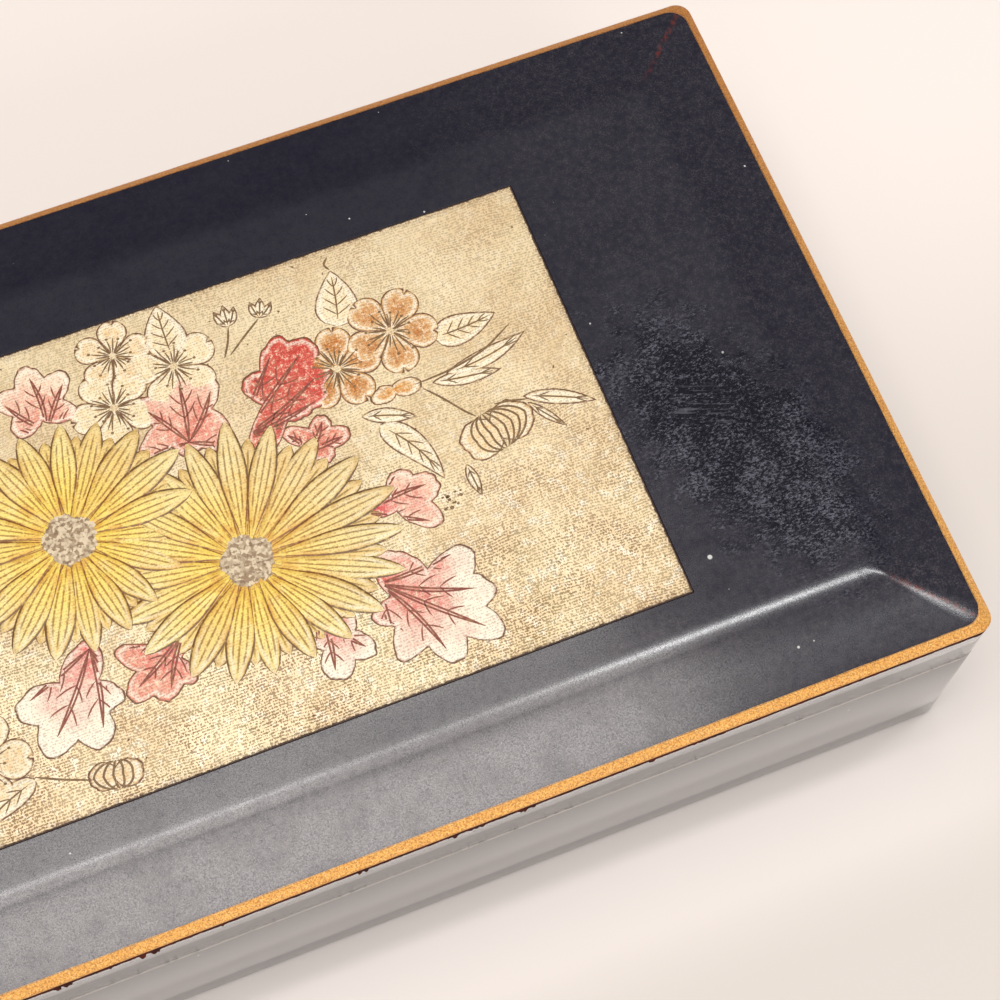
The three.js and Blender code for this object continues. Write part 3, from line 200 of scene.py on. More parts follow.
class Wiring:
    """Adds nodes to a tree and joins them, with a plain value wherever no socket is given."""

    def __init__(self, tree):
        self.tree = tree

    def add(self, kind, **options):
        node = self.tree.nodes.new(kind)
        for option, value in options.items():
            setattr(node, option, value)
        return node

    def put(self, socket, value):
        if isinstance(value, Value):
            value = value.socket
        if isinstance(value, bpy.types.NodeSocket):
            self.tree.links.new(value, socket)
        elif value is not None:
            if socket.type == "RGBA" and len(value) == 3:
                value = (*value, 1.0)
            socket.default_value = value

    def made(self, kind, values, output=0, **options):
        """A new node's output, with values for its sockets, which are given by number or by name."""
        node = self.add(kind, **options)
        for socket, value in values.items():
            self.put(node.inputs[socket], value)
        return Value(self, node.outputs[output])

    def math(self, operation, first, second=None):
        return self.made("ShaderNodeMath", {0: first, 1: second}, operation=operation)

    def vector(self, operation, first, second=None, scale=None):
        output = int(operation in ("LENGTH", "DISTANCE"))
        return self.made("ShaderNodeVectorMath", {0: first, 1: second, 3: scale}, output, operation=operation)

    def split(self, vector):
        node = self.add("ShaderNodeSeparateXYZ")
        self.put(node.inputs[0], vector)
        return [Value(self, socket) for socket in node.outputs]

    def join(self, x=0.0, y=0.0, z=0.0):
        return self.made("ShaderNodeCombineXYZ", {0: x, 1: y, 2: z})

    def mix(self, share, first, second, kind="MIX"):
        return self.made("ShaderNodeMix", {0: share, 6: first, 7: second}, 2, data_type="RGBA",
                         blend_type=kind)

    def fade(self, value, start, end, low=0.0, high=1.0):
        """A soft step from low at start to high at end."""
        return self.made("ShaderNodeMapRange", {0: value, 1: start, 2: end, 3: low, 4: high},
                         interpolation_type="SMOOTHSTEP")

    def noise(self, vector, scale, detail=2.0, rough=0.5):
        return self.made("ShaderNodeTexNoise", {
            "Vector": vector, "Scale": scale, "Detail": detail, "Roughness": rough})

    def cells(self, vector, scale):
        """The distance to the nearest of many scattered points, and that point's own colour."""
        distance = self.made("ShaderNodeTexVoronoi", {"Vector": vector, "Scale": scale}, "Distance")
        return distance, Value(self, distance.socket.node.outputs["Color"])

    def place(self):
        """The point's place on the box, in millimetres."""
        return self.vector("SCALE", self.add("ShaderNodeTexCoord").outputs["Object"], scale=1 / MM)

    def named(self, attribute, output="Fac"):
        return self.made("ShaderNodeAttribute", {}, output, attribute_name=attribute)

    def group(self, name, **values):
        """One of the shared effects, with its own values."""
        node = self.add("ShaderNodeGroup", node_tree=bpy.data.node_groups[name])
        for socket, value in values.items():
            self.put(node.inputs[socket], value)
        return [Value(self, socket) for socket in node.outputs]

    def bump(self, height, reach):
        """A normal from a height of 0 to 1 that stands for reach millimetres."""
        return self.made("ShaderNodeBump", {"Strength": 1.0, "Distance": reach * MM, "Height": height})


def new_tree(kind, name, inputs, outputs):
    """Starts a node tree with named sockets, given with the kind of each and perhaps its first value."""
    tree = bpy.data.node_groups.new(name, kind)
    for way, sockets in (("OUTPUT", outputs), ("INPUT", inputs)):
        for socket, (sort, *default) in sockets.items():
            made = tree.interface.new_socket(socket, in_out=way, socket_type="NodeSocket" + sort)
            if default:
                made.default_value = default[0]
    w = Wiring(tree)
    given = {socket.name: Value(w, socket) for socket in w.add("NodeGroupInput").outputs}
    return w, given, w.add("NodeGroupOutput").inputs


def shared_effect(name, inputs, outputs):
    """Starts a shader node group whose sockets are all numbers."""
    given = {socket: ("Float", default) for socket, default in inputs.items()}
    return new_tree("ShaderNodeTree", name, given, {socket: ("Float",) for socket in outputs})


def build_shared_effects():
    """The effects that more than one finish uses."""
    w, given, out = shared_effect("Fine grain", {"Size": 0.5}, ["Grain", "Cloud"])
    place = w.place()
    scaled = w.vector("SCALE", place, scale=1.0 / given["Size"])
    w.put(out["Grain"], w.noise(scaled, 1.0, 3.0, 0.7))
    w.put(out["Cloud"], w.fade(w.noise(place, 0.045, 3.0, 0.55), 0.32, 0.68))

    w, given, out = shared_effect("Dust", {"Spacing": 7.0, "Speck": 0.12}, ["Specks"])
    scaled = w.vector("SCALE", w.place(), scale=1.0 / given["Spacing"])
    distance, own = w.cells(scaled, 1.0)
    distance = distance * given["Spacing"]
    chance = w.split(own)[0]
    radius = given["Speck"] * (w.math("POWER", chance, 3.0) - 0.25)
    w.put(out["Specks"], w.fade(distance - radius, 0.05, -0.03))

    w, given, out = shared_effect("Hairlines", {"Spread": 1.0}, ["Lines"])
    x, y, z = w.split(w.place())
    stretched = w.join(x * 0.06, y * 2.4, z * 0.5)
    streaks = w.noise(w.vector("SCALE", stretched, scale=given["Spread"]), 1.0, 4.0, 0.6)
    w.put(out["Lines"], w.fade(streaks, 0.4, 0.62))

    w, given, out = shared_effect("Printed dashes", {"Coverage": 0.5}, ["Ink", "Cloud"])
    place = w.place()
    x, y, z = w.split(place)
    warp = w.noise(place, 0.09, 2.0) * 2.4
    row = (y + warp) / 0.52
    across = abs(w.math("FRACT", row) - 0.5)
    lane = w.math("FLOOR", row)
    dash = w.noise(w.join(x * 2.7, lane * 5.3, 0.0), 1.0, 1.0, 0.7)
    crumb = w.noise(place, 2.8, 2.0, 0.8)
    cloud = w.fade(w.noise(place, 0.055, 3.0, 0.6), 0.3, 0.7)
    most = 0.87 - given["Coverage"] * 0.36
    half = dash * 1.7 - most
    half = half + (crumb - 0.5) * 2.0
    half = half + (cloud - 0.5) * 0.1
    w.put(out["Ink"], w.fade(half - across, -0.05, 0.1))
    w.put(out["Cloud"], cloud)

    w, given, out = shared_effect("Engraved edge", {"From edge": 1.0, "Width": 0.3}, ["Line", "Lit rim"])
    waver = (w.noise(w.place(), 1.3, 2.0) - 0.5) * 0.3
    distance = given["From edge"] + waver
    w.put(out["Line"], w.fade(distance, given["Width"], given["Width"] * 0.45))
    inner = w.fade(distance, given["Width"] * 3.4, given["Width"] * 1.8)
    w.put(out["Lit rim"], w.fade(distance, given["Width"], given["Width"] * 1.6) * inner)

    w, given, out = shared_effect("Cloth pile", {"Pile": 0.25}, ["Shade", "Height"])
    place = w.place()
    fine = w.noise(w.vector("SCALE", place, scale=1.0 / given["Pile"]), 1.0, 3.0, 0.7)
    brushed = w.noise(w.vector("MULTIPLY", place, (0.06, 0.09, 0.09)), 1.0, 4.0, 0.6)
    w.put(out["Shade"], fine * 0.6 + brushed * 0.4)
    w.put(out["Height"], fine)

    w, given, out = shared_effect("Tool marks", {"Along x": 0.0}, ["Marks", "Stain"])
    place = w.place()
    x, y, z = w.split(place)
    turned = 1.0 - given["Along x"]
    lines = w.join(x * (turned * 6.0 + 0.25), y * (given["Along x"] * 6.0 + 0.25), z * 6.0)
    w.put(out["Marks"], w.noise(lines, 1.0, 3.0, 0.65))
    w.put(out["Stain"], w.fade(w.noise(place, 0.35, 4.0, 0.65), 0.42, 0.72))


def new_material(name, plain):
    """Starts a material with values that are the same all over. Gives its wiring and its shader's sockets."""
    made = bpy.data.materials.new(name)
    made.use_nodes = True
    w = Wiring(made.node_tree)
    shader = made.node_tree.nodes["Principled BSDF"].inputs
    for socket, value in plain.items():
        w.put(shader[socket], value)
    return w, shader


def end_finish(w, shader, colour, roughness, height, reach):
    """Joins a finish's colour, roughness and fine relief to its shader."""
    w.put(shader["Base Color"], colour)
    w.put(shader["Roughness"], roughness)
    w.put(shader["Normal"], w.bump(height, reach))


def lacquer_body(w, haze, pale, specks):
    """The lacquer's colour under its haze and dust."""
    body = w.mix(haze, tuple(settings().colours.lacquer), pale)
    return w.mix(specks, body, tone(205, 205, 200))


def finish_lacquer(w, shader, body, dull, place, coarse):
    """The lacquer's roughness and its slightly uneven skin."""
    height = w.noise(place, 0.3, 2.0) * 0.8 + coarse * 0.5
    end_finish(w, shader, body, dull + 0.1, height, 0.008)


def lid_lacquer_finish():
    """Black lacquer of the lid's top: hazy with dust, with a painted reflection that lightens the front
    border, rubbed beside the panel, worn red on its mitres.
    """
    w, shader = new_material("lid lacquer", {"IOR": 1.2, "Coat IOR": 1.6, "Coat Roughness": 0.16})
    place = w.place()
    x, y, _ = w.split(place)
    grain, cloud = w.group("Fine grain", Size=0.32)
    specks = w.group("Dust", Spacing=3.4, Speck=0.34)[0]
    lint = w.fade(w.vector("DISTANCE", place, (76.8, -42.6, LID_HIGH.z)), 0.5, 0.35)
    specks = w.math("MAXIMUM", specks, lint)
    coarse = w.noise(place, 0.7, 5.0, 0.8)
    cloudy = w.noise(place, 0.11, 4.0, 0.6)
    haze = w.fade(grain, 0.36, 0.7) * w.fade(coarse, 0.34, 0.66, 0.1, 1.0)
    # Painted reflection: the haze is made stronger along the front border, most towards the left, in place of
    # the lamps mirrored there
    front = w.fade(y, -44.0, -54.0) * w.fade(x, 95.0, 5.0, 0.5, 1.0)
    haze_and_painted_reflection = w.math("MAXIMUM", front * w.fade(cloudy, 0.36, 0.62, 0.45, 1.25), w.fade(x, 40.0, 95.0, 0.12, 0.4))
    body = lacquer_body(w, haze * haze_and_painted_reflection, tone(108, 102, 104), specks)
    dull = cloud * 0.03 + coarse * 0.07
    scratched = w.fade(w.group("Hairlines")[0], 0.75, 1.0, 0.0, 0.04)
    dull = dull + scratched + specks * 0.5
    # A rubbed patch beside the panel: mottled navy and grey, with a few fine streaks
    leaning = w.vector("ADD", place, w.join(y * 0.28, 0.0, 0.0))
    away = w.vector("SUBTRACT", leaning, (84.0, -24.0, 55.0))
    away = w.vector("LENGTH", w.vector("MULTIPLY", away, (0.055, 0.03, 0.0)))
    uneven = w.noise(place, 0.22, 4.0, 0.7) - 0.5
    rubbed = w.fade(away + uneven * 1.5, 1.2, 0.5)
    mottle = w.noise(w.vector("MULTIPLY", place, (1.5, 2.6, 1.0)), 1.0, 5.0, 0.85)
    shaded = w.fade(w.noise(place, 0.16, 3.0, 0.6), 0.4, 0.62, -0.035, 0.005)
    clouded = w.fade(w.vector("DISTANCE", place, (93.0, -14.0, 55.0)), 16.0, 6.0, 0.01, -0.025)
    mottle = mottle + (shaded + clouded)
    patch = w.mix(w.fade(mottle, 0.47, 0.62), tone(2, 3, 16), tone(100, 99, 110))
    body = w.mix(rubbed * 0.95, body, patch)
    turned = w.vector("SUBTRACT", place, (87.5, -15.0, 55.0))
    tx, ty, _ = w.split(turned)
    along = tx * 0.94 - ty * 0.34
    across = tx * 0.34 + ty * 0.94
    lines = w.noise(w.join(along * 0.1, across * 1.5, 0.0), 1.0, 2.0, 0.5)
    near = w.fade(abs(along), 6.5, 4.0) * w.fade(abs(across), 4.5, 2.5)
    body = w.mix(near * w.fade(lines, 0.5, 0.62), body, tone(4, 5, 16))
    body = w.mix(near * w.fade(lines, 0.44, 0.36, 0.0, 0.7), body, tone(84, 84, 92))
    # The corner mitres, rubbed through to a reddish brown
    right = abs(x) - (HALF_LENGTH - 15)
    back = abs(y - LID_MIDDLE[1]) - (HALF_DEPTH - 15)
    off_mitre = abs(right - back)
    beyond = w.fade(right + back, -3.0, 6.0)
    worn = beyond * w.fade(off_mitre, 1.2, 0.1) * w.fade(w.noise(place, 0.8, 3.0, 0.7), 0.42, 0.6)
    body = w.mix(worn * 0.75, body, tone(104, 40, 30))
    worn_coat = w.fade(grain, 0.7, 0.32, 0.45, 1.15) * w.fade(cloudy, 0.62, 0.42, 0.82, 1.05)
    smudge = w.vector("MULTIPLY", w.vector("SUBTRACT", place, (28.0, -54.0, 55.0)), (0.03, 0.16, 0.0))
    smudge = w.vector("LENGTH", smudge) + (cloudy - 0.5)
    worn_coat = worn_coat * w.fade(smudge, 1.2, 0.4, 1.0, 0.74)
    worn_coat = worn_coat * w.fade(rubbed * w.fade(mottle, 0.6, 0.47), 0.0, 1.0, 1.0, 0.4)
    w.put(shader["Coat Weight"], worn_coat)
    finish_lacquer(w, shader, body, dull, place, coarse)


def wall_lacquer_finish():
    """Black lacquer of the upright walls: the front is polished to a mirror, the other sides are plainer."""
    w, shader = new_material("wall lacquer", {"IOR": 1.6, "Coat IOR": 2.4, "Coat Roughness": 0.1})
    place = w.place()
    x, y, z = w.split(place)
    grain, cloud = w.group("Fine grain", Size=0.32)
    specks = w.group("Dust", Spacing=3.4, Speck=0.34)[0]
    coarse = w.noise(place, 0.7, 5.0, 0.8)
    drawn = w.noise(w.vector("MULTIPLY", place, (0.08, 0.08, 1.2)), 1.0, 3.0, 0.6)
    haze = w.fade(drawn, 0.35, 0.7) * w.fade(grain, 0.3, 0.7, 0.5, 1.0)
    body = lacquer_body(w, haze * 0.5, tone(58, 55, 57), specks)
    # Rims: a hair of grey on each rim, partly wear and partly a painted highlight, and painted light on the
    # front wall's foot
    edges = ((LID_LOW.z + 0.2, 0.7), (CASE_HIGH.z - 0.2, 1.1), (CASE_LOW.z + 0.3, 0.5))
    wear_and_highlight_rims = [w.fade(abs(z - edge), reach, 0.4 * reach) for edge, reach in edges]
    rim = w.math("MAXIMUM", w.math("MAXIMUM", wear_and_highlight_rims[0], wear_and_highlight_rims[1]), wear_and_highlight_rims[2])
    outside = w.math("MAXIMUM", w.fade(abs(x), HALF_LENGTH - 0.6, HALF_LENGTH - 0.2),
                     w.fade(abs(y - LID_MIDDLE[1]), HALF_DEPTH - 0.6, HALF_DEPTH - 0.2))
    rim = rim * outside * w.fade(w.noise(place, 0.4, 4.0, 0.7), 0.25, 0.5)
    # The rims' painted highlight is strongest on the front wall
    seam = w.fade(y, *FRONT_WALL, 0.4, 0.9)
    body = w.mix(rim * seam, body, tone(160, 152, 146))
    dull = cloud * 0.04 + coarse * 0.06 + rim * 0.2
    w.put(shader["Coat Weight"], w.fade(y, *FRONT_WALL, 0.15, 1.0))
    # Painted light: the front wall turns paler towards its foot, over the mirrored shadow of the floor
    foot = w.fade(z, 6.0, 1.2) * w.fade(y, *FRONT_WALL, 0.0, 1.0)
    body = w.mix(foot * 0.8, body, tone(146, 138, 132))
    finish_lacquer(w, shader, body, dull, place, coarse)


def undercoat_finish():
    """The dark maroon undercoat that shows below the gilt edge, chipped further down along the front."""
    w, shader = new_material("maroon undercoat", {"IOR": 1.15})
    place = w.place()
    x, y, z = w.split(place)
    spot = w.join(x, y, 0.0)
    front = w.fade(y, *FRONT_WALL)
    low = w.noise(spot, 0.25, 4.0, 0.7) * w.fade(front, 0.0, 1.0, 0.9, 1.9)
    low = w.fade(front, 0.0, 1.0, BAND_LOW.z - 0.1, BAND_LOW.z - 0.9) - low
    front = front * w.fade(x, 70.0, 40.0)
    chip = w.fade(w.noise(spot, 0.3, 3.0, 0.6), 0.55, 0.68) * (front * 2.4 + 0.3)
    shown = w.fade(z - low + chip, 0.0, 0.15)
    depth = w.noise(place, 0.8, 4.0, 0.7)
    body = w.mix(w.fade(depth, 0.4, 0.6), tone(44, 14, 10), tone(92, 30, 14))
    w.put(shader["Alpha"], shown)
    end_finish(w, shader, body, depth * 0.2 + 0.7, depth, 0.02)


def gilt_finish():
    """Gold lacquer laid by hand: fine speckle, thin places and a few dark pits."""
    gilt = tuple(settings().colours.gilt)
    w, shader = new_material("gilt edge", {"IOR": 1.5})
    place = w.place()
    grain, cloud = w.group("Fine grain", Size=0.3)
    body = w.mix(w.fade(grain, 0.34, 0.66), blend_tones(gilt, tone(150, 80, 20), 0.75), gilt)
    body = w.mix(w.fade(w.noise(place, 3.2, 2.0, 0.6), 0.56, 0.68) * 0.7, body, tone(255, 222, 150))
    y = w.split(place)[1]
    # Painted shade: the gilt darkens towards the back, which faces away from the lamps
    body = w.mix(w.fade(y, -66.0, 66.0, 0.0, 0.85), body, w.mix(1.0, body, tone(200, 176, 148), "MULTIPLY"))
    pits = w.fade(w.noise(place, 1.6, 4.0, 0.8), 0.63, 0.7)
    body = w.mix(pits * 0.75, body, tone(92, 44, 14))
    w.put(shader["Metallic"], w.fade(grain, 0.2, 0.8, 0.1, 0.4))
    end_finish(w, shader, body, cloud * 0.1 + 0.38, grain - pits * 0.6, 0.03)


def panel_ground_finish():
    """The panel's pale gold ground, printed with rows of fine dashes."""
    colours = settings().colours
    w, shader = new_material("panel ground", {"IOR": 1.45})
    place = w.place()
    x, y, _ = w.split(place)
    ink, cloud = w.group("Printed dashes", Coverage=0.5)
    ground = w.mix(cloud, tuple(colours.panel), blend_tones(tuple(colours.panel), tone(222, 190, 140), 0.6))
    pale = w.fade(w.noise(place, 0.5, 5.0, 0.75), 0.5, 0.64) * w.fade(y, 20.0, -40.0, 0.3, 0.9)
    ground = w.mix(pale, ground, tone(252, 240, 214))
    flecks = w.fade(w.noise(place, 0.9, 2.0, 0.6), 0.705, 0.74)
    strong = w.fade(y, -50.0, 15.0, 0.78, 0.44) * w.fade(w.noise(place, 0.12, 3.0), 0.3, 0.7, 0.7, 1.15)
    dashes = w.mix(w.fade(w.noise(place, 0.06, 2.0), 0.4, 0.6), tone(124, 106, 60), tone(136, 102, 66))
    printed = w.mix(ink * strong, ground, dashes)
    printed = w.mix(flecks, printed, tone(118, 82, 50))
    right = PANEL_HALF[0] - abs(x)
    back = PANEL_HALF[1] - abs(y - PANEL_MIDDLE[1])
    rim = w.math("MINIMUM", right, back)
    # Darker brown towards the panel's edge, and darkest at its ragged rim
    edge_darkening = w.fade(rim, 1.8, 0.2) * w.fade(w.noise(place, 2.0, 3.0, 0.8), 0.45, 0.55)
    printed = w.mix(edge_darkening * 0.6, printed, tone(112, 82, 58))
    rim = rim + w.noise(place, 0.8, 4.0, 0.8) * -0.9
    printed = w.mix(w.fade(rim, 0.0, -0.2), printed, tone(66, 46, 34))
    w.put(shader["Metallic"], 0.12 - ink * 0.1)
    grain = w.group("Fine grain", Size=0.35)[0]
    end_finish(w, shader, printed, ink * 0.15 + 0.5, grain - ink * 0.8, 0.05)


def painted_relief_finish():
    """Leaves and blossoms: a colour wash, a printed dash here and there, and a brown outline."""
    colours = settings().colours
    w, shader = new_material("painted relief", {"IOR": 1.45})
    place = w.place()
    ink = w.group("Printed dashes", Coverage=0.38)[0]
    edge = w.named("edge")
    line, rim = w.group("Engraved edge", **{"From edge": edge, "Width": 0.42})
    wash = w.named("wash", "Color")
    patchy = w.noise(place, 0.9, 6.0, 0.85)
    body = w.mix(w.fade(patchy, 0.5, 0.62, 0.0, 0.85), wash, tone(250, 232, 198))
    deeper = w.mix(1.0, body, wash, "MULTIPLY")
    body = w.mix(w.fade(patchy, 0.5, 0.36, 0.0, 0.9), body, deeper)
    # Painted highlight: a pale lit rim just inside each shape's edge
    body = w.mix(rim * 0.6, body, tone(254, 246, 224))
    dark = w.mix(0.6, wash, tone(92, 56, 28))
    body = w.mix(ink * 0.62, body, dark)
    firm = w.fade(w.noise(place, 0.9, 3.0, 0.7), 0.34, 0.5, 0.5, 1.0)
    body = w.mix(line * firm, body, blend_tones(tuple(colours.ink), tone(96, 34, 26), 0.45))
    swell = w.fade(edge, 0.0, 1.1)
    grain = w.group("Fine grain", Size=0.35)[0]
    end_finish(w, shader, body, patchy * 0.2 + 0.42, swell + grain * 0.25, 0.16)


def petal_finish(middles):
    """Chrysanthemum petals: yellow by the heart and paler at the tips, with lengthwise grooves."""
    colours = settings().colours
    w, shader = new_material("chrysanthemum petals", {"IOR": 1.45})
    place = w.place()
    x, y, _ = w.split(place)
    away = None
    for cx, cy in middles:
        distance = w.vector("DISTANCE", w.join(x, y, 0.0), (cx, cy, 0.0))
        away = distance if away is None else w.math("MINIMUM", away, distance)
    along, across, _ = w.split(w.add("ShaderNodeUVMap").outputs[0])
    edge = w.named("edge")
    half = w.named("half")
    line, rim = w.group("Engraved edge", **{"From edge": edge, "Width": w.math("MINIMUM", 0.5, half * 0.26)})
    body = w.mix(w.fade(away, 5.0, 27.0), tuple(colours.petal), tuple(colours.petal_tip))
    # The upper right petals are paler than the lower left ones
    lean = x * 0.6 + y
    body = w.mix(w.fade(lean, -25.0, 12.0) * w.fade(x, -12.0, 8.0, 0.0, 0.6), body, tone(236, 208, 150))
    body = w.mix(w.fade(w.noise(place, 0.25, 3.0), 0.5, 0.72, 0.0, 0.4), body, tone(252, 234, 176))
    body = w.mix(w.fade(w.noise(place, 0.6, 4.0, 0.7), 0.5, 0.66, 0.0, 0.4), body, tone(238, 190, 90))
    shade = w.named("shade")
    body = w.mix(w.fade(shade, 0.35, 0.9, 0.0, 0.65), body, w.mix(0.6, body, tone(222, 172, 84)))
    groove = None
    for middle, first, last in ((0.5, 0.16, 0.84), (0.28, 0.3, 0.72), (0.73, 0.34, 0.76)):
        off = abs(across - middle) * (half * 2.0)
        off = off + w.noise(place, 1.1, 2.0) * 0.2
        one = w.fade(off, 0.34, 0.14) * (w.fade(along, first - 0.1, first) * w.fade(along, last + 0.1, last))
        groove = one if groove is None else w.math("MAXIMUM", groove, one)
    broken = w.fade(w.noise(place, 1.7, 2.0, 0.6), 0.34, 0.5, 0.35, 1.0)
    groove = groove * broken
    ink = w.group("Printed dashes", Coverage=0.22)[0]
    deep = w.mix(w.fade(away, 6.0, 24.0), tone(150, 82, 20), tone(122, 92, 48))
    lit = rim * (w.fade(y, 10.0, -25.0, 0.1, 0.55) * w.fade(along, 0.45, 0.85))
    body = w.mix(lit, body, tone(252, 244, 216))
    browned = w.fade(edge, 1.5, 0.3) * w.fade(w.noise(place, 0.3, 3.0), 0.4, 0.6, 0.1, 0.55)
    body = w.mix(browned, body, w.mix(w.fade(away, 6.0, 24.0), tone(218, 150, 52), tone(204, 164, 92)))
    body = w.mix(ink * 0.36, body, deep)
    body = w.mix(groove * 0.75, body, deep)
    firm = w.fade(w.noise(place, 0.8, 3.0, 0.7), 0.32, 0.5, 0.55, 0.98)
    body = w.mix(line * firm, body, w.mix(w.fade(away, 6.0, 22.0), tone(128, 72, 20), tone(98, 68, 32)))
    height = w.fade(edge, 0.0, 0.9) - groove * 0.45
    end_finish(w, shader, body, groove * 0.2 + 0.42, height, 0.2)


def ink_finish():
    """The brown of the engraved lines, thin in places."""
    ink = tuple(settings().colours.ink)
    w, shader = new_material("engraved line", {"IOR": 1.45})
    place = w.place()
    thin = w.fade(w.noise(place, 1.5, 3.0, 0.6), 0.45, 0.7)
    tint = w.named("wash", "Color")
    body = w.mix(thin * 0.45, tint, blend_tones(ink, tone(214, 180, 130), 0.6))
    end_finish(w, shader, body, w.fade(thin, 0.0, 1.0, 0.5, 0.65), w.noise(place, 2.5, 2.0), 0.02)


def heart_finish():
    """The heart's grains: grey beige, some almost white and some dark."""
    w, shader = new_material("heart grains", {"IOR": 1.45})
    place = w.place()
    own = w.split(w.cells(place, 1.9)[1])[0]
    body = w.mix(w.fade(own, 0.1, 0.9), tone(148, 122, 90), tone(222, 204, 172))
    body = w.mix(w.fade(w.noise(place, 0.9, 3.0, 0.7), 0.52, 0.66, 0.0, 0.8), body, tone(112, 84, 54))
    end_finish(w, shader, body, w.fade(own, 0.0, 1.0, 0.4, 0.6), w.noise(place, 4.0, 2.0), 0.03)


def velvet_finish(name, colour, pile):
    """Short velvet with a brushed look and a bright sheen at its folds."""
    w, shader = new_material(name, {"Sheen Weight": 0.6, "Sheen Roughness": 0.35,
                                    "Sheen Tint": blend_tones(colour, (1.0, 0.7, 0.7), 0.35)})
    shade, height = w.group("Cloth pile", Pile=pile)
    body = w.mix(w.fade(shade, 0.35, 0.65), blend_tones(colour, (0.0, 0.0, 0.0), 0.5), colour)
    end_finish(w, shader, body, w.fade(shade, 0.3, 0.7, 0.95, 0.75), height, 0.12)


def wood_finish():
    """Bare softwood board with its grain along the box's length."""
    w, shader = new_material("bare board", {"IOR": 1.45})
    place = w.place()
    y = w.split(place)[1]
    wave = w.noise(w.vector("MULTIPLY", place, (0.012, 0.05, 0.05)), 1.0, 2.0)
    rings = w.math("FRACT", y * 0.09 + wave * 5.0)
    fibre = w.noise(w.vector("MULTIPLY", place, (0.12, 3.0, 3.0)), 1.0, 3.0, 0.7)
    body = w.mix(w.fade(rings, 0.2, 0.95), tone(196, 158, 112), tone(150, 106, 64))
    body = w.mix(w.fade(fibre, 0.4, 0.7, 0.0, 0.5), body, tone(118, 80, 46))
    stain = w.group("Tool marks")[1]
    body = w.mix(stain * 0.3, body, tone(96, 70, 48))
    end_finish(w, shader, body, w.fade(fibre, 0.3, 0.7, 0.6, 0.8), fibre, 0.08)


def metal_finish(name, bright, dark, rough, marks_along_x):
    """Worked metal: fine tool marks, tarnish in patches."""
    w, shader = new_material(name, {"Metallic": 1.0})
    marks, stain = w.group("Tool marks", **{"Along x": marks_along_x})
    body = w.mix(stain * 0.6, bright, dark)
    dull = marks * 0.16 + stain * 0.16
    end_finish(w, shader, body, dull + rough, marks, 0.02)


def mirror_finish():
    """Silvered glass, a little clouded at its rim."""
    w, shader = new_material("mirror", {"Metallic": 1.0})
    low, high = node_box("mirror")
    x, y, _ = w.split(w.place())
    right = high.x - abs(x)
    back = (high.y - low.y) / 2 - abs(y - (high.y + low.y) / 2)
    rim = w.math("MINIMUM", right, back)
    cloud = w.group("Fine grain", Size=0.6)[1]
    clouded = w.fade(rim - cloud * 2.0, 1.5, -0.5) * 0.6
    w.put(shader["Base Color"], w.mix(clouded, tone(236, 240, 240), tone(120, 112, 100)))
    w.put(shader["Roughness"], clouded * 0.4 + 0.03)


def clear_finish():
    """Clear moulded plastic with fine rub marks."""
    w, shader = new_material("clear cover", {"Transmission Weight": 1.0, "IOR": 1.2,
                                             "Base Color": (0.94, 0.96, 0.96)})
    marks = w.group("Tool marks", **{"Along x": 1.0})[0]
    w.put(shader["Roughness"], w.fade(marks, 0.4, 0.75, 0.03, 0.16))
    w.put(shader["Normal"], w.bump(marks, 0.01))


# Meshes

def link(name, mesh):
    """A new object in the scene for a mesh."""
    piece = bpy.data.objects.new(name, mesh)
    bpy.context.scene.collection.objects.link(piece)
    return piece


def mesh_of(name, points, faces):
    """A mesh from points in millimetres, its doubles merged and its faces turned outward."""
    mesh = bpy.data.meshes.new(name)
    mesh.from_pydata([Vector(p) * MM for p in points], [], faces)
    work = bmesh.new()
    work.from_mesh(mesh)
    bmesh.ops.remove_doubles(work, verts=work.verts, dist=1e-7)
    bmesh.ops.recalc_face_normals(work, faces=work.faces)
    work.to_mesh(mesh)
    work.free()
    mesh.validate()
    return mesh


def dress(piece, material, body, nodes=(), sharp=35):
    """Gives a piece its finish and smooth shading, and says what it rides on and stands for."""
    if not isinstance(material, bpy.types.Material):
        material = bpy.data.materials[material]
    piece.data.materials.clear()
    piece.data.materials.append(material)
    piece.data.shade_smooth()
    piece.data.set_sharp_from_angle(angle=math.radians(sharp))
    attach(piece, body)
    if nodes:
        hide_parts(*nodes)
    return piece


def outline(half_x, half_y, radius, middle=(0.0, 0.0), arc=12, sides=(40, 24)):
    """A rounded rectangle's outline, anticlockwise, with the same number of points whatever its size."""
    points = []
    for quarter, (sx, sy) in enumerate(((1, 1), (-1, 1), (-1, -1), (1, -1))):
        centre = Vector((middle[0] + sx * (half_x - radius), middle[1] + sy * (half_y - radius)))
        for step in range(arc + 1):
            angle = math.radians(90 * (quarter + step / arc))
            points.append(centre + radius * Vector((math.cos(angle), math.sin(angle))))
        following = ((-1, 1), (-1, -1), (1, -1), (1, 1))[quarter]
        angle = math.radians(90 * (quarter + 1))
        target = Vector((middle[0] + following[0] * (half_x - radius),
                         middle[1] + following[1] * (half_y - radius)))
        target += radius * Vector((math.cos(angle), math.sin(angle)))
        count = sides[quarter % 2]
        points += [points[-1].lerp(target, step / count) for step in range(1, count)]
    return points


def loft(loops, ring=False):
    """Points and faces of a skin over loops of equal length; a ring closes on its first loop."""
    count = len(loops[0])
    points = [tuple(p) for loop in loops for p in loop]
    faces = []
    rows = len(loops) if ring else len(loops) - 1
    for row in range(rows):
        here, there = row * count, ((row + 1) % len(loops)) * count
        for i in range(count):
            j = (i + 1) % count
            faces.append((here + i, there + i, there + j, here + j))
    if not ring:
        faces.append(tuple(range(count))[::-1])
        last = (len(loops) - 1) * count
        faces.append(tuple(range(last, last + count)))
    return points, faces


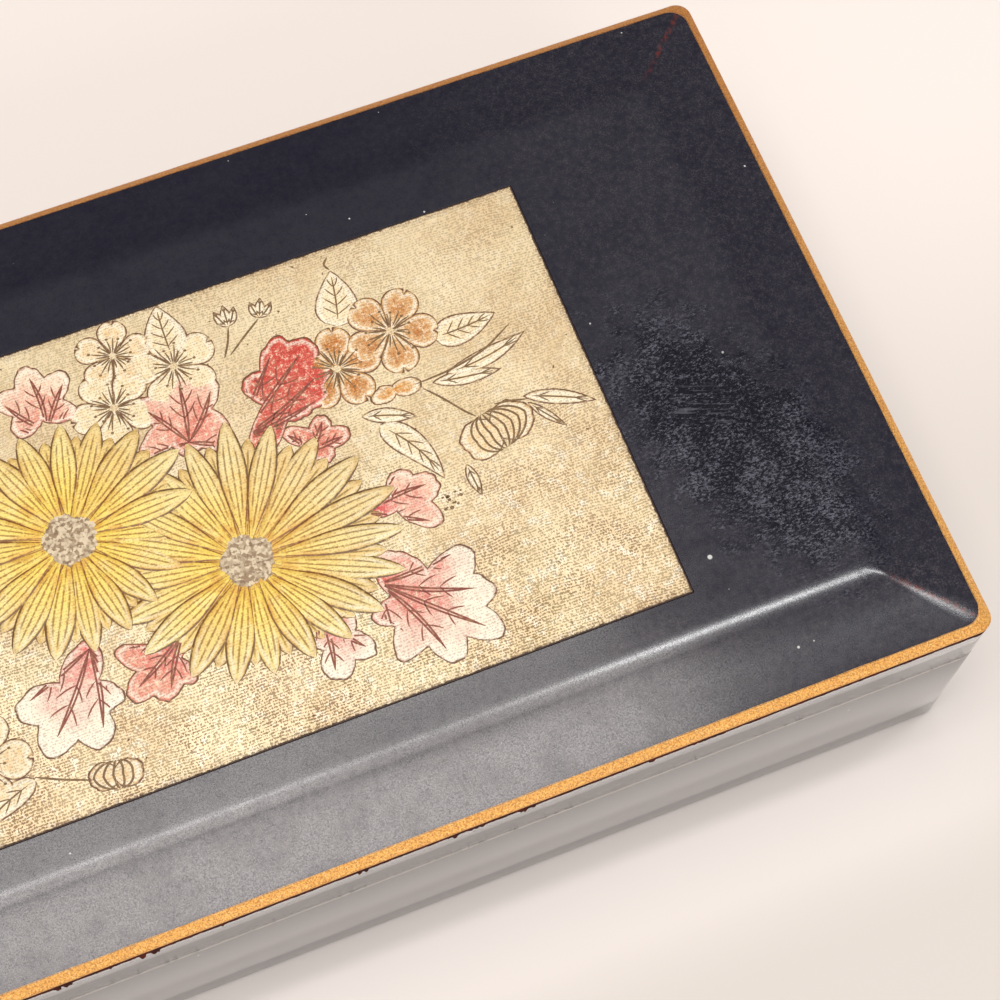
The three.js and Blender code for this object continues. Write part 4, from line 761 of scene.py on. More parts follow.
def skin(name, loops, ring=False):
    """A piece whose faces run over loops of equal length."""
    return link(name, mesh_of(name, *loft(loops, ring)))


def level(points, z):
    """An outline at one height."""
    return [(p.x, p.y, z) for p in points]


def box_ring(inset, z, radius=CORNER):
    """A loop round the box, that far in from its sides."""
    return level(outline(HALF_LENGTH - inset, HALF_DEPTH - inset, radius, LID_MIDDLE), z)


def mortises(leaf, low_z, high_z):
    """The boxes that seat the two leaves of one kind, open to the back."""
    spots = [node_box(f"{leaf}_{side}") for side in ("left", "right")]
    return [((low.x - LEAF_ROOM, HALF_DEPTH + LID_MIDDLE[1] - MORTISE_DEPTH, low_z),
             (high.x + LEAF_ROOM, HALF_DEPTH + MORTISE_BEYOND, high_z)) for low, high in spots]


def carve(piece, boxes):
    """Cuts boxes, given by their corners in millimetres, out of a piece."""
    for low, high in boxes:
        corners = [(x, y, z) for x in (low[0], high[0]) for y in (low[1], high[1]) for z in (low[2], high[2])]
        faces = [(0, 1, 3, 2), (4, 6, 7, 5), (0, 4, 5, 1), (2, 3, 7, 6), (0, 2, 6, 4), (1, 5, 7, 3)]
        cutter = link("cutter", mesh_of("cutter", corners, faces))
        cut = piece.modifiers.new("Mortise", "BOOLEAN")
        cut.object = cutter
        cut.operation = "DIFFERENCE"
        cut.solver = "EXACT"
        graph = bpy.context.evaluated_depsgraph_get()
        mesh = bpy.data.meshes.new_from_object(piece.evaluated_get(graph), depsgraph=graph)
        piece.modifiers.clear()
        piece.data = mesh
        bpy.data.objects.remove(cutter)
    return piece


def refined(node, material, body, edge):
    """A CAD node's own shape, merged, with its edges softened and its curves shaded smooth."""
    work = bmesh.new()
    work.from_mesh(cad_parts[node].data)
    bmesh.ops.remove_doubles(work, verts=work.verts, dist=2e-6)
    bmesh.ops.dissolve_degenerate(work, edges=work.edges, dist=1e-7)
    bmesh.ops.dissolve_limit(work, angle_limit=math.radians(0.6), verts=work.verts, edges=work.edges)
    if edge:
        keen = [e for e in work.edges if len(e.link_faces) == 2 and e.calc_face_angle(0) > math.radians(38)]
        bmesh.ops.bevel(work, geom=keen, offset=edge * MM, segments=2, profile=0.5, affect="EDGES",
                        clamp_overlap=True)
    mesh = bpy.data.meshes.new(node + "_fine")
    work.to_mesh(mesh)
    work.free()
    piece = dress(link(node + "_fine", mesh), material, body, (node,), 30)
    if edge:
        piece.modifiers.new("Even shading", "WEIGHTED_NORMAL").keep_sharp = True
    return piece


# Geometry node trees

def geometry_tree(name, inputs):
    """Starts a geometry tree that takes and gives a geometry, with its own named inputs."""
    sockets = {"Geometry": ("Geometry",), **{socket: (kind,) for socket, kind in inputs.items()}}
    return new_tree("GeometryNodeTree", name, sockets, {"Geometry": ("Geometry",)})


def copy_on(w, given, out, points, pattern, scale, rotation=None):
    """Copies a pattern onto points, makes the copies real and paints them, which ends each tree."""
    copies = w.made("GeometryNodeInstanceOnPoints", {
        "Points": points, "Instance": pattern, "Rotation": rotation, "Scale": scale})
    real = w.made("GeometryNodeRealizeInstances", {0: copies})
    w.put(out["Geometry"], w.made("GeometryNodeSetMaterial", {"Geometry": real, "Material": given["Paint"]}))


def random_between(w, low, high, seed):
    """A number that differs from copy to copy."""
    return w.made("FunctionNodeRandomValue", {2: low, 3: high, "Seed": seed}, 1, data_type="FLOAT")


def named_number(w, name):
    return w.made("GeometryNodeInputNamedAttribute", {"Name": name}, "Attribute", data_type="FLOAT")


def build_trees():
    """The trees for what repeats: petals round a heart, grains on it, stitches along a seam."""
    w, given, out = geometry_tree("Petals round a heart", {
        "Petal": "Object", "Spread": "Float", "Breadth": "Float", "Seed": "Int", "Paint": "Material"})
    petal = w.made("GeometryNodeObjectInfo", {"Object": given["Petal"]}, "Geometry")
    turn = named_number(w, "turn") + random_between(w, given["Spread"] * -1.0, given["Spread"], given["Seed"])
    rotation = w.made("FunctionNodeEulerToRotation", {0: w.join(0.0, 0.0, turn)})
    broad = random_between(w, 1.0 - given["Breadth"], 1.0 + given["Breadth"], given["Seed"] + 1.0)
    copy_on(w, given, out, given["Geometry"], petal, w.join(named_number(w, "reach"), broad, 1.0), rotation)

    w, given, out = geometry_tree("Grains on a heart", {
        "Grain": "Float", "Flatness": "Float", "Spacing": "Float", "Seed": "Int", "Paint": "Material"})
    spots = w.made("GeometryNodeDistributePointsOnFaces", {
        "Mesh": given["Geometry"], "Distance Min": given["Spacing"], "Density Max": 1.2e7,
        "Seed": given["Seed"]}, "Points", distribute_method="POISSON")
    grain = w.made("GeometryNodeMeshIcoSphere", {"Radius": given["Grain"], "Subdivisions": 1})
    size = random_between(w, 0.7, 1.25, given["Seed"])
    copy_on(w, given, out, spots, grain, w.join(size, size, size * given["Flatness"]))

    w, given, out = geometry_tree("Stitches along a seam", {
        "Pitch": "Float", "Thread": "Float", "Paint": "Material"})
    path = w.made("GeometryNodeMeshToCurve", {0: given["Geometry"]})
    spaced = w.made("GeometryNodeResampleCurve", {"Curve": path, "Length": given["Pitch"]}, mode="LENGTH")
    tangent = w.made("GeometryNodeInputTangent", {})
    aim = w.made("FunctionNodeAlignRotationToVector", {"Vector": tangent}, axis="Z")
    thread = w.made("GeometryNodeMeshIcoSphere", {"Subdivisions": 1, "Radius": given["Thread"]})
    copy_on(w, given, out, spaced, thread, (1.0, 1.0, 2.6), aim)


def grow(name, mesh, tree_name, values):
    """The plain mesh that a geometry tree makes of a mesh."""
    tree = bpy.data.node_groups[tree_name]
    holder = link(name + "_seedling", mesh)
    growth = holder.modifiers.new("Growth", "NODES")
    growth.node_group = tree
    for item in tree.interface.items_tree:
        if item.item_type == "SOCKET" and item.in_out == "INPUT" and item.name in values:
            growth[item.identifier] = values[item.name]
    graph = bpy.context.evaluated_depsgraph_get()
    grown = bpy.data.meshes.new_from_object(holder.evaluated_get(graph), preserve_all_data_layers=True,
                                            depsgraph=graph)
    bpy.data.objects.remove(holder)
    grown.name = name
    return grown


# The panel's low relief, drawn in millimetres from the lid's middle, x to the right and y to the back.

def on_panel(x, y):
    """A point of the drawing in the row frame."""
    return x, y + LID_MIDDLE[1]


def petal_form(u):
    """A long petal, narrow at the heart and blunt pointed at the tip."""
    return math.sin(math.pi * u ** 1.35) ** (1.0 - 0.4 * u) * 0.96 + 0.12 * (1 - u) ** 2


def leaf_form(u):
    """A slim leaf, pointed at both ends."""
    return math.sin(math.pi * u ** 0.85) ** 0.85


def round_leaf_form(u):
    """A broad leaf with a drawn-out tip."""
    return math.sin(math.pi * u ** 0.62) ** 0.8


def blossom_form(u):
    """A blossom's petal, narrow at the middle of the flower and round outside."""
    if u < 0.62:
        return 0.16 + 0.84 * math.sin(math.pi / 2 * u / 0.62) ** 1.3
    return math.sqrt(max(0.0, 1 - ((u - 0.62) / 0.38) ** 2))


class Relief:
    """Raised shapes of one finish, kept with the numbers that their paint needs."""

    def __init__(self):
        self.points = []
        self.faces = []
        self.uvs = []
        self.edges = []
        self.halves = []
        self.washes = []

    def add_point(self, x, y, z, uv, edge, half, wash):
        self.points.append((x, y, z))
        self.uvs.append(uv)
        self.edges.append(edge)
        self.halves.append(half)
        self.washes.append((*wash, 1.0))
        return len(self.points) - 1

    def blade(self, start, heading, length, width, form, base, crown, wash, bend=0.0, notch=0.0, rows=16,
              columns=8):
        """A petal or slim leaf from start along heading. Gives back the place of any point (u, v) on it."""
        def place(u, v):
            angle = math.radians(heading + bend * (u - 0.5))
            if abs(bend) > 0.1:
                radius = length / math.radians(bend)
                first = math.radians(heading - bend * 0.5)
                x = start[0] + radius * (math.sin(first + math.radians(bend) * u) - math.sin(first))
                y = start[1] - radius * (math.cos(first + math.radians(bend) * u) - math.cos(first))
            else:
                x = start[0] + length * u * math.cos(angle)
                y = start[1] + length * u * math.sin(angle)
            back = notch * length * math.exp(-((v / 0.3) ** 2)) * u ** 6
            x -= back * math.cos(angle)
            y -= back * math.sin(angle)
            half = width / 2 * form(u) * v
            return x - half * math.sin(angle), y + half * math.cos(angle)

        grid = []
        for row in range(rows + 1):
            u = 0.004 + 0.992 * row / rows
            half = max(width / 2 * form(u), 0.02)
            swell = min(1.0, 5 * u, 7 * (1 - u)) ** 0.6
            line = []
            for column in range(-1, columns + 2):
                v = max(-1.0, min(1.0, 2 * column / columns - 1))
                x, y = place(u, v)
                under = column in (-1, columns + 1)
                z = GROUND - 0.03 if under else base + crown * (1 - abs(v) ** 3) * swell
                line.append(self.add_point(*on_panel(x, y), z, (u, (v + 1) / 2), 0.0 if under else
                                           min((1 - abs(v)) * half, (1 - u) * length * 0.9, u * length + 0.4),
                                           half, wash(u, v, x, y)))
            grid.append(line)
        for row in range(rows):
            for i in range(len(grid[0]) - 1):
                self.faces.append((grid[row][i], grid[row + 1][i], grid[row + 1][i + 1], grid[row][i + 1]))
        return place

    def lobed(self, middle, tips, base, crown, wash, around=120, rings=7):
        """A leaf whose lobes reach from its middle to the tips, each given as x, y and width.
        Gives back a test of whether a point is well inside it."""
        def reach(angle):
            way = Vector((math.cos(angle), math.sin(angle)))
            best = 0.4
            ragged = 1 + 0.1 * noise.noise(Vector((way.x * 2.4, way.y * 2.4, middle[0])))
            ragged += 0.05 * noise.noise(Vector((way.x * 7.0, way.y * 7.0, middle[1])))
            for tx, ty, width in tips:
                axis = Vector((tx - middle[0], ty - middle[1]))
                long, short = axis.length * 0.57, width * 0.46
                centre = axis * 0.46
                axis.normalize()
                side = Vector((-axis.y, axis.x))
                p = Vector((-centre.dot(axis) / long, -centre.dot(side) / short))
                q = Vector((way.dot(axis) / long, way.dot(side) / short))
                a, b, c = q.dot(q), p.dot(q), p.dot(p) - 1
                inside = b * b - a * c
                if inside > 0:
                    best = max(best, (-b + math.sqrt(inside)) / a)
            return best * ragged

        centre = self.add_point(*on_panel(*middle), base + crown, (0.0, 0.0), 3.0, 3.0, wash(0.0, *middle))
        previous = None
        reaches = [reach(2 * math.pi * i / around) for i in range(around)]
        for ring in range(1, rings + 2):
            share = min(ring / rings, 1.0)
            share = 1 - (1 - share) ** 1.6
            loop = []
            for i in range(around):
                angle = 2 * math.pi * i / around
                distance = reaches[i] * share
                x = middle[0] + distance * math.cos(angle)
                y = middle[1] + distance * math.sin(angle)
                under = ring == rings + 1
                z = GROUND - 0.03 if under else base + crown * (1 - share ** 4)
                loop.append(self.add_point(*on_panel(x, y), z, (share, i / around),
                                           (1 - share) * reaches[i] * 0.8, reaches[i], wash(share, x, y)))
            for i in range(around):
                j = (i + 1) % around
                if previous is None:
                    self.faces.append((centre, loop[i], loop[j]))
                else:
                    self.faces.append((previous[i], loop[i], loop[j], previous[j]))
            previous = loop

        def inside(point):
            away = Vector(point) - Vector(middle)
            return away.length < 0.9 * reach(math.atan2(away.y, away.x))
        return inside

    def mesh(self, name):
        """The mesh with its paint numbers: UV map, distance from the edge, half width and wash."""
        mesh = bpy.data.meshes.new(name)
        mesh.from_pydata([Vector(p) * MM for p in self.points], [], self.faces)
        layer = mesh.uv_layers.new(name="UVMap")
        for loop in mesh.loops:
            layer.data[loop.index].uv = self.uvs[loop.vertex_index]
        for attribute, values in (("edge", self.edges), ("half", self.halves)):
            mesh.attributes.new(attribute, "FLOAT", "POINT").data.foreach_set("value", values)
        wash = mesh.attributes.new("wash", "FLOAT_COLOR", "POINT")
        wash.data.foreach_set("color", [c for four in self.washes for c in four])
        return mesh


class Engraving:
    """Thin lines that follow the relief beneath them."""

    def __init__(self, surface):
        self.surface = surface
        self.ceiling = GROUND + 0.09
        self.within = lambda point: True
        self.points = []
        self.faces = []
        self.tints = []

    def height(self, x, y):
        hit = self.surface.ray_cast(Vector((x, y, 100)) * MM, Vector((0, 0, -1)))
        return GROUND if hit[0] is None else hit[0].z / MM

    def line(self, way, width, tint, taper=(0.35, 0.35)):
        """A line along points of the drawing, thinner at its ends by taper, where nothing hides it."""
        way = [Vector(p) for p in way]
        last = len(way) - 1
        joined = False
        for i, point in enumerate(way):
            along = way[min(i + 1, last)] - way[max(i - 1, 0)]
            x, y = on_panel(*point)
            if along.length < 1e-6 or not self.within(point) or self.height(x, y) > self.ceiling:
                joined = False
                continue
            side = Vector((-along.y, along.x)).normalized()
            share = i / last
            half = width / 2 * min(1.0, taper[0] + 4 * share, taper[1] + 4 * (1 - share))
            for sign in (-1, 1):
                x, y = on_panel(*(point + side * half * sign))
                self.points.append((x, y, min(self.height(x, y) + 0.016, PANEL_HIGH.z)))
                self.tints.append((*tint, 1.0))
            if joined:
                n = len(self.points)
                self.faces.append((n - 4, n - 2, n - 1, n - 3))
            joined = True

    def stroke(self, start, end, width, tint, bow=0.0, taper=(0.35, 0.35)):
        """A line from start to end, bowed to its left by a share of its length."""
        start, end = Vector(start), Vector(end)
        along = end - start
        side = Vector((-along.y, along.x))
        steps = max(4, int(along.length / 0.9))
        self.line([start + along * (i / steps) + side * bow * math.sin(math.pi * i / steps)
                   for i in range(steps + 1)], width, tint, taper)

    def pair(self, start, end, gap, width, tint, bow=0.0):
        """Two lines side by side that close at both ends, as for a heavy vein."""
        spread = gap / max((Vector(end) - Vector(start)).length, 0.1)
        self.stroke(start, end, width, tint, bow + spread / 2)
        self.stroke(start, end, width, tint, bow - spread / 2)

    def dot(self, x, y, radius, tint):
        self.line([(x - radius, y), (x, y), (x + radius, y)], radius * 1.8, tint, (0.6, 0.6))

    def veins(self, place, width, tint, sides=5, first=0.12, last=0.88, reach=0.62):
        """A midrib and side veins on a blade."""
        steps = 14
        self.line([place(first + (last - first) * i / steps, 0.0) for i in range(steps + 1)], width, tint)
        for n in range(sides):
            u = first + 0.08 + (last - first - 0.26) * n / max(sides - 1, 1)
            for sign in (-1, 1):
                self.line([place(u + 0.16 * i / 4, sign * reach * i / 4) for i in range(5)], width * 0.8,
                          tint)

    def mesh(self, name):
        mesh = bpy.data.meshes.new(name)
        mesh.from_pydata([Vector(p) * MM for p in self.points], [], self.faces)
        tint = mesh.attributes.new("wash", "FLOAT_COLOR", "POINT")
        tint.data.foreach_set("color", [c for four in self.tints for c in four])
        return mesh


# The drawing: middles of the two chrysanthemums, and the directions and lengths of their front petals
FLOWERS = [
    ((0.3, -12.0), [(7, 29.4), (-8.5, 28.3), (-25, 28.0), (-41, 25.9), (-59, 23.6), (-77, 21.8), (-97, 21.5),
     (-115, 22.6), (-134, 23.2), (-155.5, 24.4), (-173, 24.6), (169, 23.5), (151, 24.5), (133, 25.0),
     (114, 24.0), (97, 25.3), (79, 27.2), (61, 26.2), (43.5, 26.6), (25, 27.8)]),
    ((-27.5, 3.0), [(22, 25.2), (3.5, 23.0), (-15, 22.3), (-36, 20.5), (-56, 19.5), (-76, 20.4), (-95, 21.5),
     (-114, 22.4), (-133, 22.8), (-151, 23.6), (-170, 24.4), (171, 24.5), (152, 23.7), (134, 23.0),
     (115, 22.4), (97, 22.0), (78, 22.3), (60, 22.8), (41, 23.8)]),
]

PINK, WHITE, RED = tone(238, 168, 142), tone(253, 242, 220), tone(212, 70, 54)
ROSE, OCHRE = tone(222, 120, 98), tone(222, 158, 70)

# Lobed leaves: middle, where the veins start, tips with widths, inner and outer colour, layer
LEAVES = [
    ((16.5, 16.0), (6.6, 10.5), [(25.8, 25.2, 9.5), (19.5, 27.0, 8.0), (11.5, 21.5, 7.5), (27.0, 18.6, 7.5),
     (25.2, 13.2, 6.5), (19.5, 10.6, 6.5), (6.5, 4.0, 6.5)], ROSE, RED, 2),
    ((-1.2, 18.5), (-2.0, 13.2), [(0.3, 27.2, 7.5), (-8.2, 23.4, 7.0), (-11.2, 13.2, 6.0), (6.3, 23.2, 6.5),
     (5.0, 10.0, 8.5), (-2.5, 10.5, 8.0)], tone(230, 136, 116), tone(251, 222, 194), 1),
    ((19.5, 5.4), (18.0, 3.6), [(14.2, 9.2, 4.5), (22.4, 9.5, 5.0), (25.6, 4.6, 5.0), (20.0, 0.6, 5.0)],
     ROSE, PINK, 0),
    ((29.2, -11.2), (22.9, -11.0), [(31.8, -5.2, 6.0), (37.4, -9.4, 7.0), (35.2, -17.6, 6.0),
     (22.5, -11.0, 4.0)], tone(220, 84, 84), tone(248, 204, 178), 1),
    ((27.5, -30.5), (20.5, -24.4), [(37.0, -23.6, 8.0), (39.0, -32.6, 8.0), (38.2, -41.4, 7.5),
     (28.6, -43.2, 8.0), (19.2, -38.4, 7.5), (17.0, -29.6, 6.5), (22.0, -18.6, 9.0)], tone(230, 124, 108),
     WHITE, 1),
    ((10.5, -31.5), (9.0, -27.0), [(7.6, -38.6, 6.5), (15.4, -36.0, 6.0), (13.6, -27.0, 5.0),
     (5.6, -29.4, 5.0)], tone(232, 126, 116), WHITE, 0),
    ((-19.5, -24.8), (-14.5, -20.6), [(-20.6, -31.2, 7.0), (-26.8, -28.6, 6.5), (-15.0, -29.0, 5.0),
     (-26.2, -19.8, 6.0), (-14.0, -19.6, 5.0)], tone(226, 122, 112), PINK, 0),
    ((-36.0, -24.5), (-30.5, -17.5), [(-45.5, -24.0, 8.0), (-42.5, -33.5, 8.5), (-33.0, -35.0, 8.0),
     (-27.5, -28.0, 6.5), (-29.5, -16.5, 7.5)], tone(228, 120, 110), WHITE, 1),
    ((-45.5, 21.5), (-39.0, 17.0), [(-53.5, 30.0, 9.0), (-43.0, 31.5, 7.5), (-56.5, 21.0, 7.5),
     (-51.0, 14.0, 6.5), (-37.5, 14.5, 7.0)], ROSE, RED, 2),
    ((-25.5, 30.0), (-25.0, 24.5), [(-25.0, 38.0, 7.0), (-32.0, 33.5, 6.5), (-18.6, 34.0, 6.5),
     (-30.5, 25.0, 6.0), (-19.5, 25.5, 6.0)], tone(230, 136, 116), tone(251, 222, 194), 1),
    ((-55.5, -8.0), (-50.0, -6.0), [(-63.5, -6.5, 7.0), (-60.5, -14.0, 6.5), (-53.0, -15.5, 6.0),
     (-49.0, -4.5, 5.5)], tone(220, 84, 84), tone(248, 204, 178), 1),
]

# Blossoms: middle, reach, direction of the first petal, how orange, layer
BLOSSOMS = [
    ((39.6, 21.2), 8.4, 52.0, 0.8, 1), ((27.8, 17.4), 8.0, 78.0, 1.0, 0), ((0.2, 28.6), 8.0, 20.0, 0.0, 0),
    ((-12.5, 24.5), 7.6, 40.0, 0.0, 0), ((-61.0, 8.0), 8.4, 15.0, 0.9, 1),
    ((-54.0, -30.5), 8.6, 60.0, 0.1, 1), ((-9.5, 34.5), 6.6, 75.0, 0.1, 0),
]

STAMENS = 22

# Plain leaves: start, heading, length, width, bend, broad or slim, how white
SPRAY = [
    ((31.0, 25.5), 78.0, 11.6, 8.2, 10.0, "broad", 0.5), ((46.6, 17.0), 4.0, 12.4, 6.4, 12.0, "broad", 0.2),
    ((46.0, 9.4), 10.0, 17.0, 3.6, 22.0, "slim", 0.15), ((43.0, 8.6), -8.0, 13.0, 3.2, 6.0, "slim", 0.3),
    ((28.6, 6.8), -20.0, 10.2, 3.2, -12.0, "slim", 0.35),
    ((31.0, 4.0), -62.0, 16.0, 5.6, -34.0, "broad", 0.5), ((43.0, -8.6), -86.0, 6.8, 2.3, 4.0, "slim", 0.2),
    ((57.4, 0.2), -24.0, 13.6, 3.2, -10.0, "slim", 0.25), ((57.8, -1.2), -54.0, 8.6, 1.9, 6.0, "slim", 0.2),
    ((0.6, 30.6), 88.0, 10.8, 8.0, -8.0, "broad", 0.7), ((-37.0, 34.5), 60.0, 8.0, 4.0, 10.0, "broad", 0.4),
    ((-66.0, 17.0), 110.0, 12.0, 5.4, -14.0, "broad", 0.4),
    ((-60.0, 33.0), 150.0, 9.0, 3.4, 10.0, "slim", 0.3),
    ((-62.0, -22.0), 170.0, 8.6, 3.6, -20.0, "slim", 0.4),
    ((-46.0, -36.5), 205.0, 14.0, 4.6, 20.0, "broad", 0.3),
    ((-60.0, -34.0), 235.0, 9.0, 3.6, 12.0, "slim", 0.4),
    ((-66.5, -1.0), 100.0, 7.4, 2.6, 10.0, "slim", 0.3), ((12.0, 32.6), 112.0, 4.2, 2.0, -20.0, "slim", 0.5),
    ((12.2, 32.6), 60.0, 4.2, 2.0, 20.0, "slim", 0.5), ((12.1, 32.4), 86.0, 4.8, 2.2, 0.0, "slim", 0.5),
    ((18.0, 32.3), 100.0, 3.8, 1.9, -20.0, "slim", 0.5), ((18.1, 32.3), 38.0, 3.8, 1.9, 26.0, "slim", 0.5),
    ((18.0, 32.2), 70.0, 4.2, 2.2, 0.0, "slim", 0.5),
]

# Buds: middle, half length, half breadth, tilt
BUDS = [
    ((50.6, -4.2), 7.4, 4.4, 14.0), ((-67.0, -16.0), 4.4, 3.0, 120.0), ((-33.0, -40.5), 4.6, 2.8, 170.0),
]

# Stems: points that each follows
STEMS = [
    [(41.0, 8.2), (43.6, 5.2), (46.6, 1.0), (48.0, -0.4)],
    [(40.0, 9.4), (47.0, 9.8), (54.0, 11.2), (60.6, 14.8)], [(12.0, 32.4), (11.0, 29.6), (9.4, 26.8)],
    [(17.8, 32.2), (14.6, 30.0), (10.6, 27.0)], [(33.4, 37.0), (32.6, 38.4), (33.8, 39.6)],
    [(-65.0, -13.0), (-62.0, -9.0), (-58.0, -7.0)], [(-37.0, -40.0), (-42.0, -38.0), (-46.0, -36.0)],
    [(-41.0, 32.0), (-38.5, 33.5), (-37.0, 34.5)], [(58.0, -0.6), (55.0, 0.2), (52.0, 0.6)],
    [(-64.0, 15.5), (-62.0, 12.0), (-61.0, 9.0)],
]

FORMS = {"broad": round_leaf_form, "slim": leaf_form}
LAYER = [GROUND + 0.015, GROUND + 0.025, GROUND + 0.035]


class BuildLid(bpy.types.Operator):
    """Makes the lacquered lid with its rounded crown, soft ridge and seat for the panel."""

    bl_idname = "jewelry_box.lid"
    bl_label = "Lacquered lid"

    def execute(self, context):
        sizes = settings().sizes
        start, field = BAND_HIGH.z, LID_HIGH.z
        step = 0.2
        turning = 8.5

        def slope(inset):
            plain = sizes.crown_slope + sizes.crown_round * math.exp(-(inset - GILT_INSET) / 0.5)
            if inset > sizes.field_start:
                return 0.0
            if inset > sizes.ridge_start:
                ridge = sizes.field_start - sizes.ridge_start
                return sizes.ridge_slope * (sizes.field_start - inset) / ridge
            if inset > turning:
                climb = (inset - turning) / (sizes.ridge_start - turning)
                return plain + (sizes.ridge_slope - plain) * climb ** 1.5
            return plain

        insets = [GILT_INSET + step * i for i in range(int((sizes.field_start - GILT_INSET) / step) + 2)]
        heights = [0.0]
        for inset in insets[1:]:
            heights.append(heights[-1] + step * slope(inset - step / 2))
        scale = (field - start) / heights[-1]
        crown = [(inset, start + height * scale) for inset, height in zip(insets, heights)]
        kept = [c for i, c in enumerate(crown) if i % 2 == 0 or c[0] < 4.5 or c[0] > 13.0]

        seat = (PANEL_HALF[0] + 0.03, PANEL_HALF[1] + 0.03)
        loops = [level(outline(*seat, 0.25, PANEL_MIDDLE), PANEL_LOW.z),
                 level(outline(*seat, 0.25, PANEL_MIDDLE), field - 0.12),
                 level(outline(seat[0] + 0.1, seat[1] + 0.1, 0.3, PANEL_MIDDLE), field)]
        for inset, z in reversed(kept):
            loops.append(box_ring(inset, z, 3.5 - 2.5 * min((inset - GILT_INSET) / 13.4, 1.0)))
        foot = LID_LOW.z
        skirt = ((1.62, start - 0.6, 3.5), (0.06, BAND_LOW.z - 0.1), (0.06, foot + 0.3), (0.16, foot + 0.08),
                 (0.36, foot), (WALL - 0.3, foot, 1.0), (WALL, foot + 0.3, 1.0), (WALL, CEILING, 1.0))
        loops += [box_ring(*corner) for corner in skirt]
        lid = skin("lid_lacquer", loops)
        carve(lid, mortises("hinge_lid_leaf", foot - 1, foot + 1))
        dress(lid, "lid lacquer", "lid", ("lid_shell",), 30)
        lid.data.materials.append(bpy.data.materials["wall lacquer"])
        for face in lid.data.polygons:
            face.material_index = int(face.center.z < (BAND_LOW.z + 0.2) * MM)
        return {"FINISHED"}


class BuildGiltEdge(bpy.types.Operator):
    """Makes the hand-laid gold edge round the lid."""

    bl_idname = "jewelry_box.gilt_edge"
    bl_label = "Gilt edge"

    def execute(self, context):
        waver = settings().sizes.gilt_waver
        sides = (150, 88)
        low, high = BAND_LOW.z, BAND_HIGH.z
        section = [(0.03, low - 0.22, 1.0), (0.0, low - 0.05, 0.6), (0.0, high - 1.06, 0.2),
                   (0.1, high - 0.93, 0.2), (0.55, high - 0.62, 0.2), (1.1, high - 0.27, 0.3),
                   (1.5, high - 0.05, 0.6), (1.72, high + 0.035, 1.0), (1.8, high - 0.05, 1.0),
                   (1.2, high - 0.75, 0.0), (0.3, low - 0.1, 0.0)]
        loops = []
        for number, (inset, z, stray) in enumerate(section):
            radius = CORNER + 0.5 * min(inset / GILT_INSET, 1.0)
            loop = outline(HALF_LENGTH - inset, HALF_DEPTH - inset, radius, LID_MIDDLE, 12, sides)
            outer = number < 4
            made = []
            for p in loop:
                drift = noise.noise(Vector((p.x * 0.21, p.y * 0.21, 3.0 * outer))) * 0.7
                drift += noise.noise(Vector((p.x * 0.9, p.y * 0.9, 7.0 + number * 0.01))) * 0.5
                way = Vector((0.0, LID_MIDDLE[1])) - p
                way.normalize()
                slide = 0.0 if outer else drift * waver * stray
                made.append((p.x + way.x * slide, p.y + way.y * slide,
                             z + (drift * waver * stray * 1.6 if outer else drift * 0.02)))
            loops.append(made)
        dress(skin("gilt_edge", loops, ring=True), "gilt edge", "lid", ("gold_edge_band",), 60)
        foot = low - UNDERCOAT_DROP
        strip = [box_ring(*corner) for corner in ((0.03, foot), (0.03, low), (0.05, low), (0.05, foot))]
        dress(skin("undercoat_line", strip, ring=True), "maroon undercoat", "lid", (), 60)
        return {"FINISHED"}


class BuildPanel(bpy.types.Operator):
    """Makes the panel's ground, a thin plate let into the lid."""

    bl_idname = "jewelry_box.panel"
    bl_label = "Panel ground"

    def execute(self, context):
        loops = [level(outline(PANEL_HALF[0] - inset, PANEL_HALF[1] - inset, 0.3, PANEL_MIDDLE), z)
                 for inset, z in ((0.0, PANEL_LOW.z + 0.02), (0.0, GROUND - 0.1), (0.05, GROUND - 0.03),
                                  (0.14, GROUND))]
        dress(skin("panel_ground", loops), "panel ground", "lid", ("inlay_panel",), 50)
        return {"FINISHED"}


def ornament(name, mesh, material, sharp=60):
    """A piece of the panel's ornament."""
    dress(link(name, mesh), material, "lid", (), sharp)


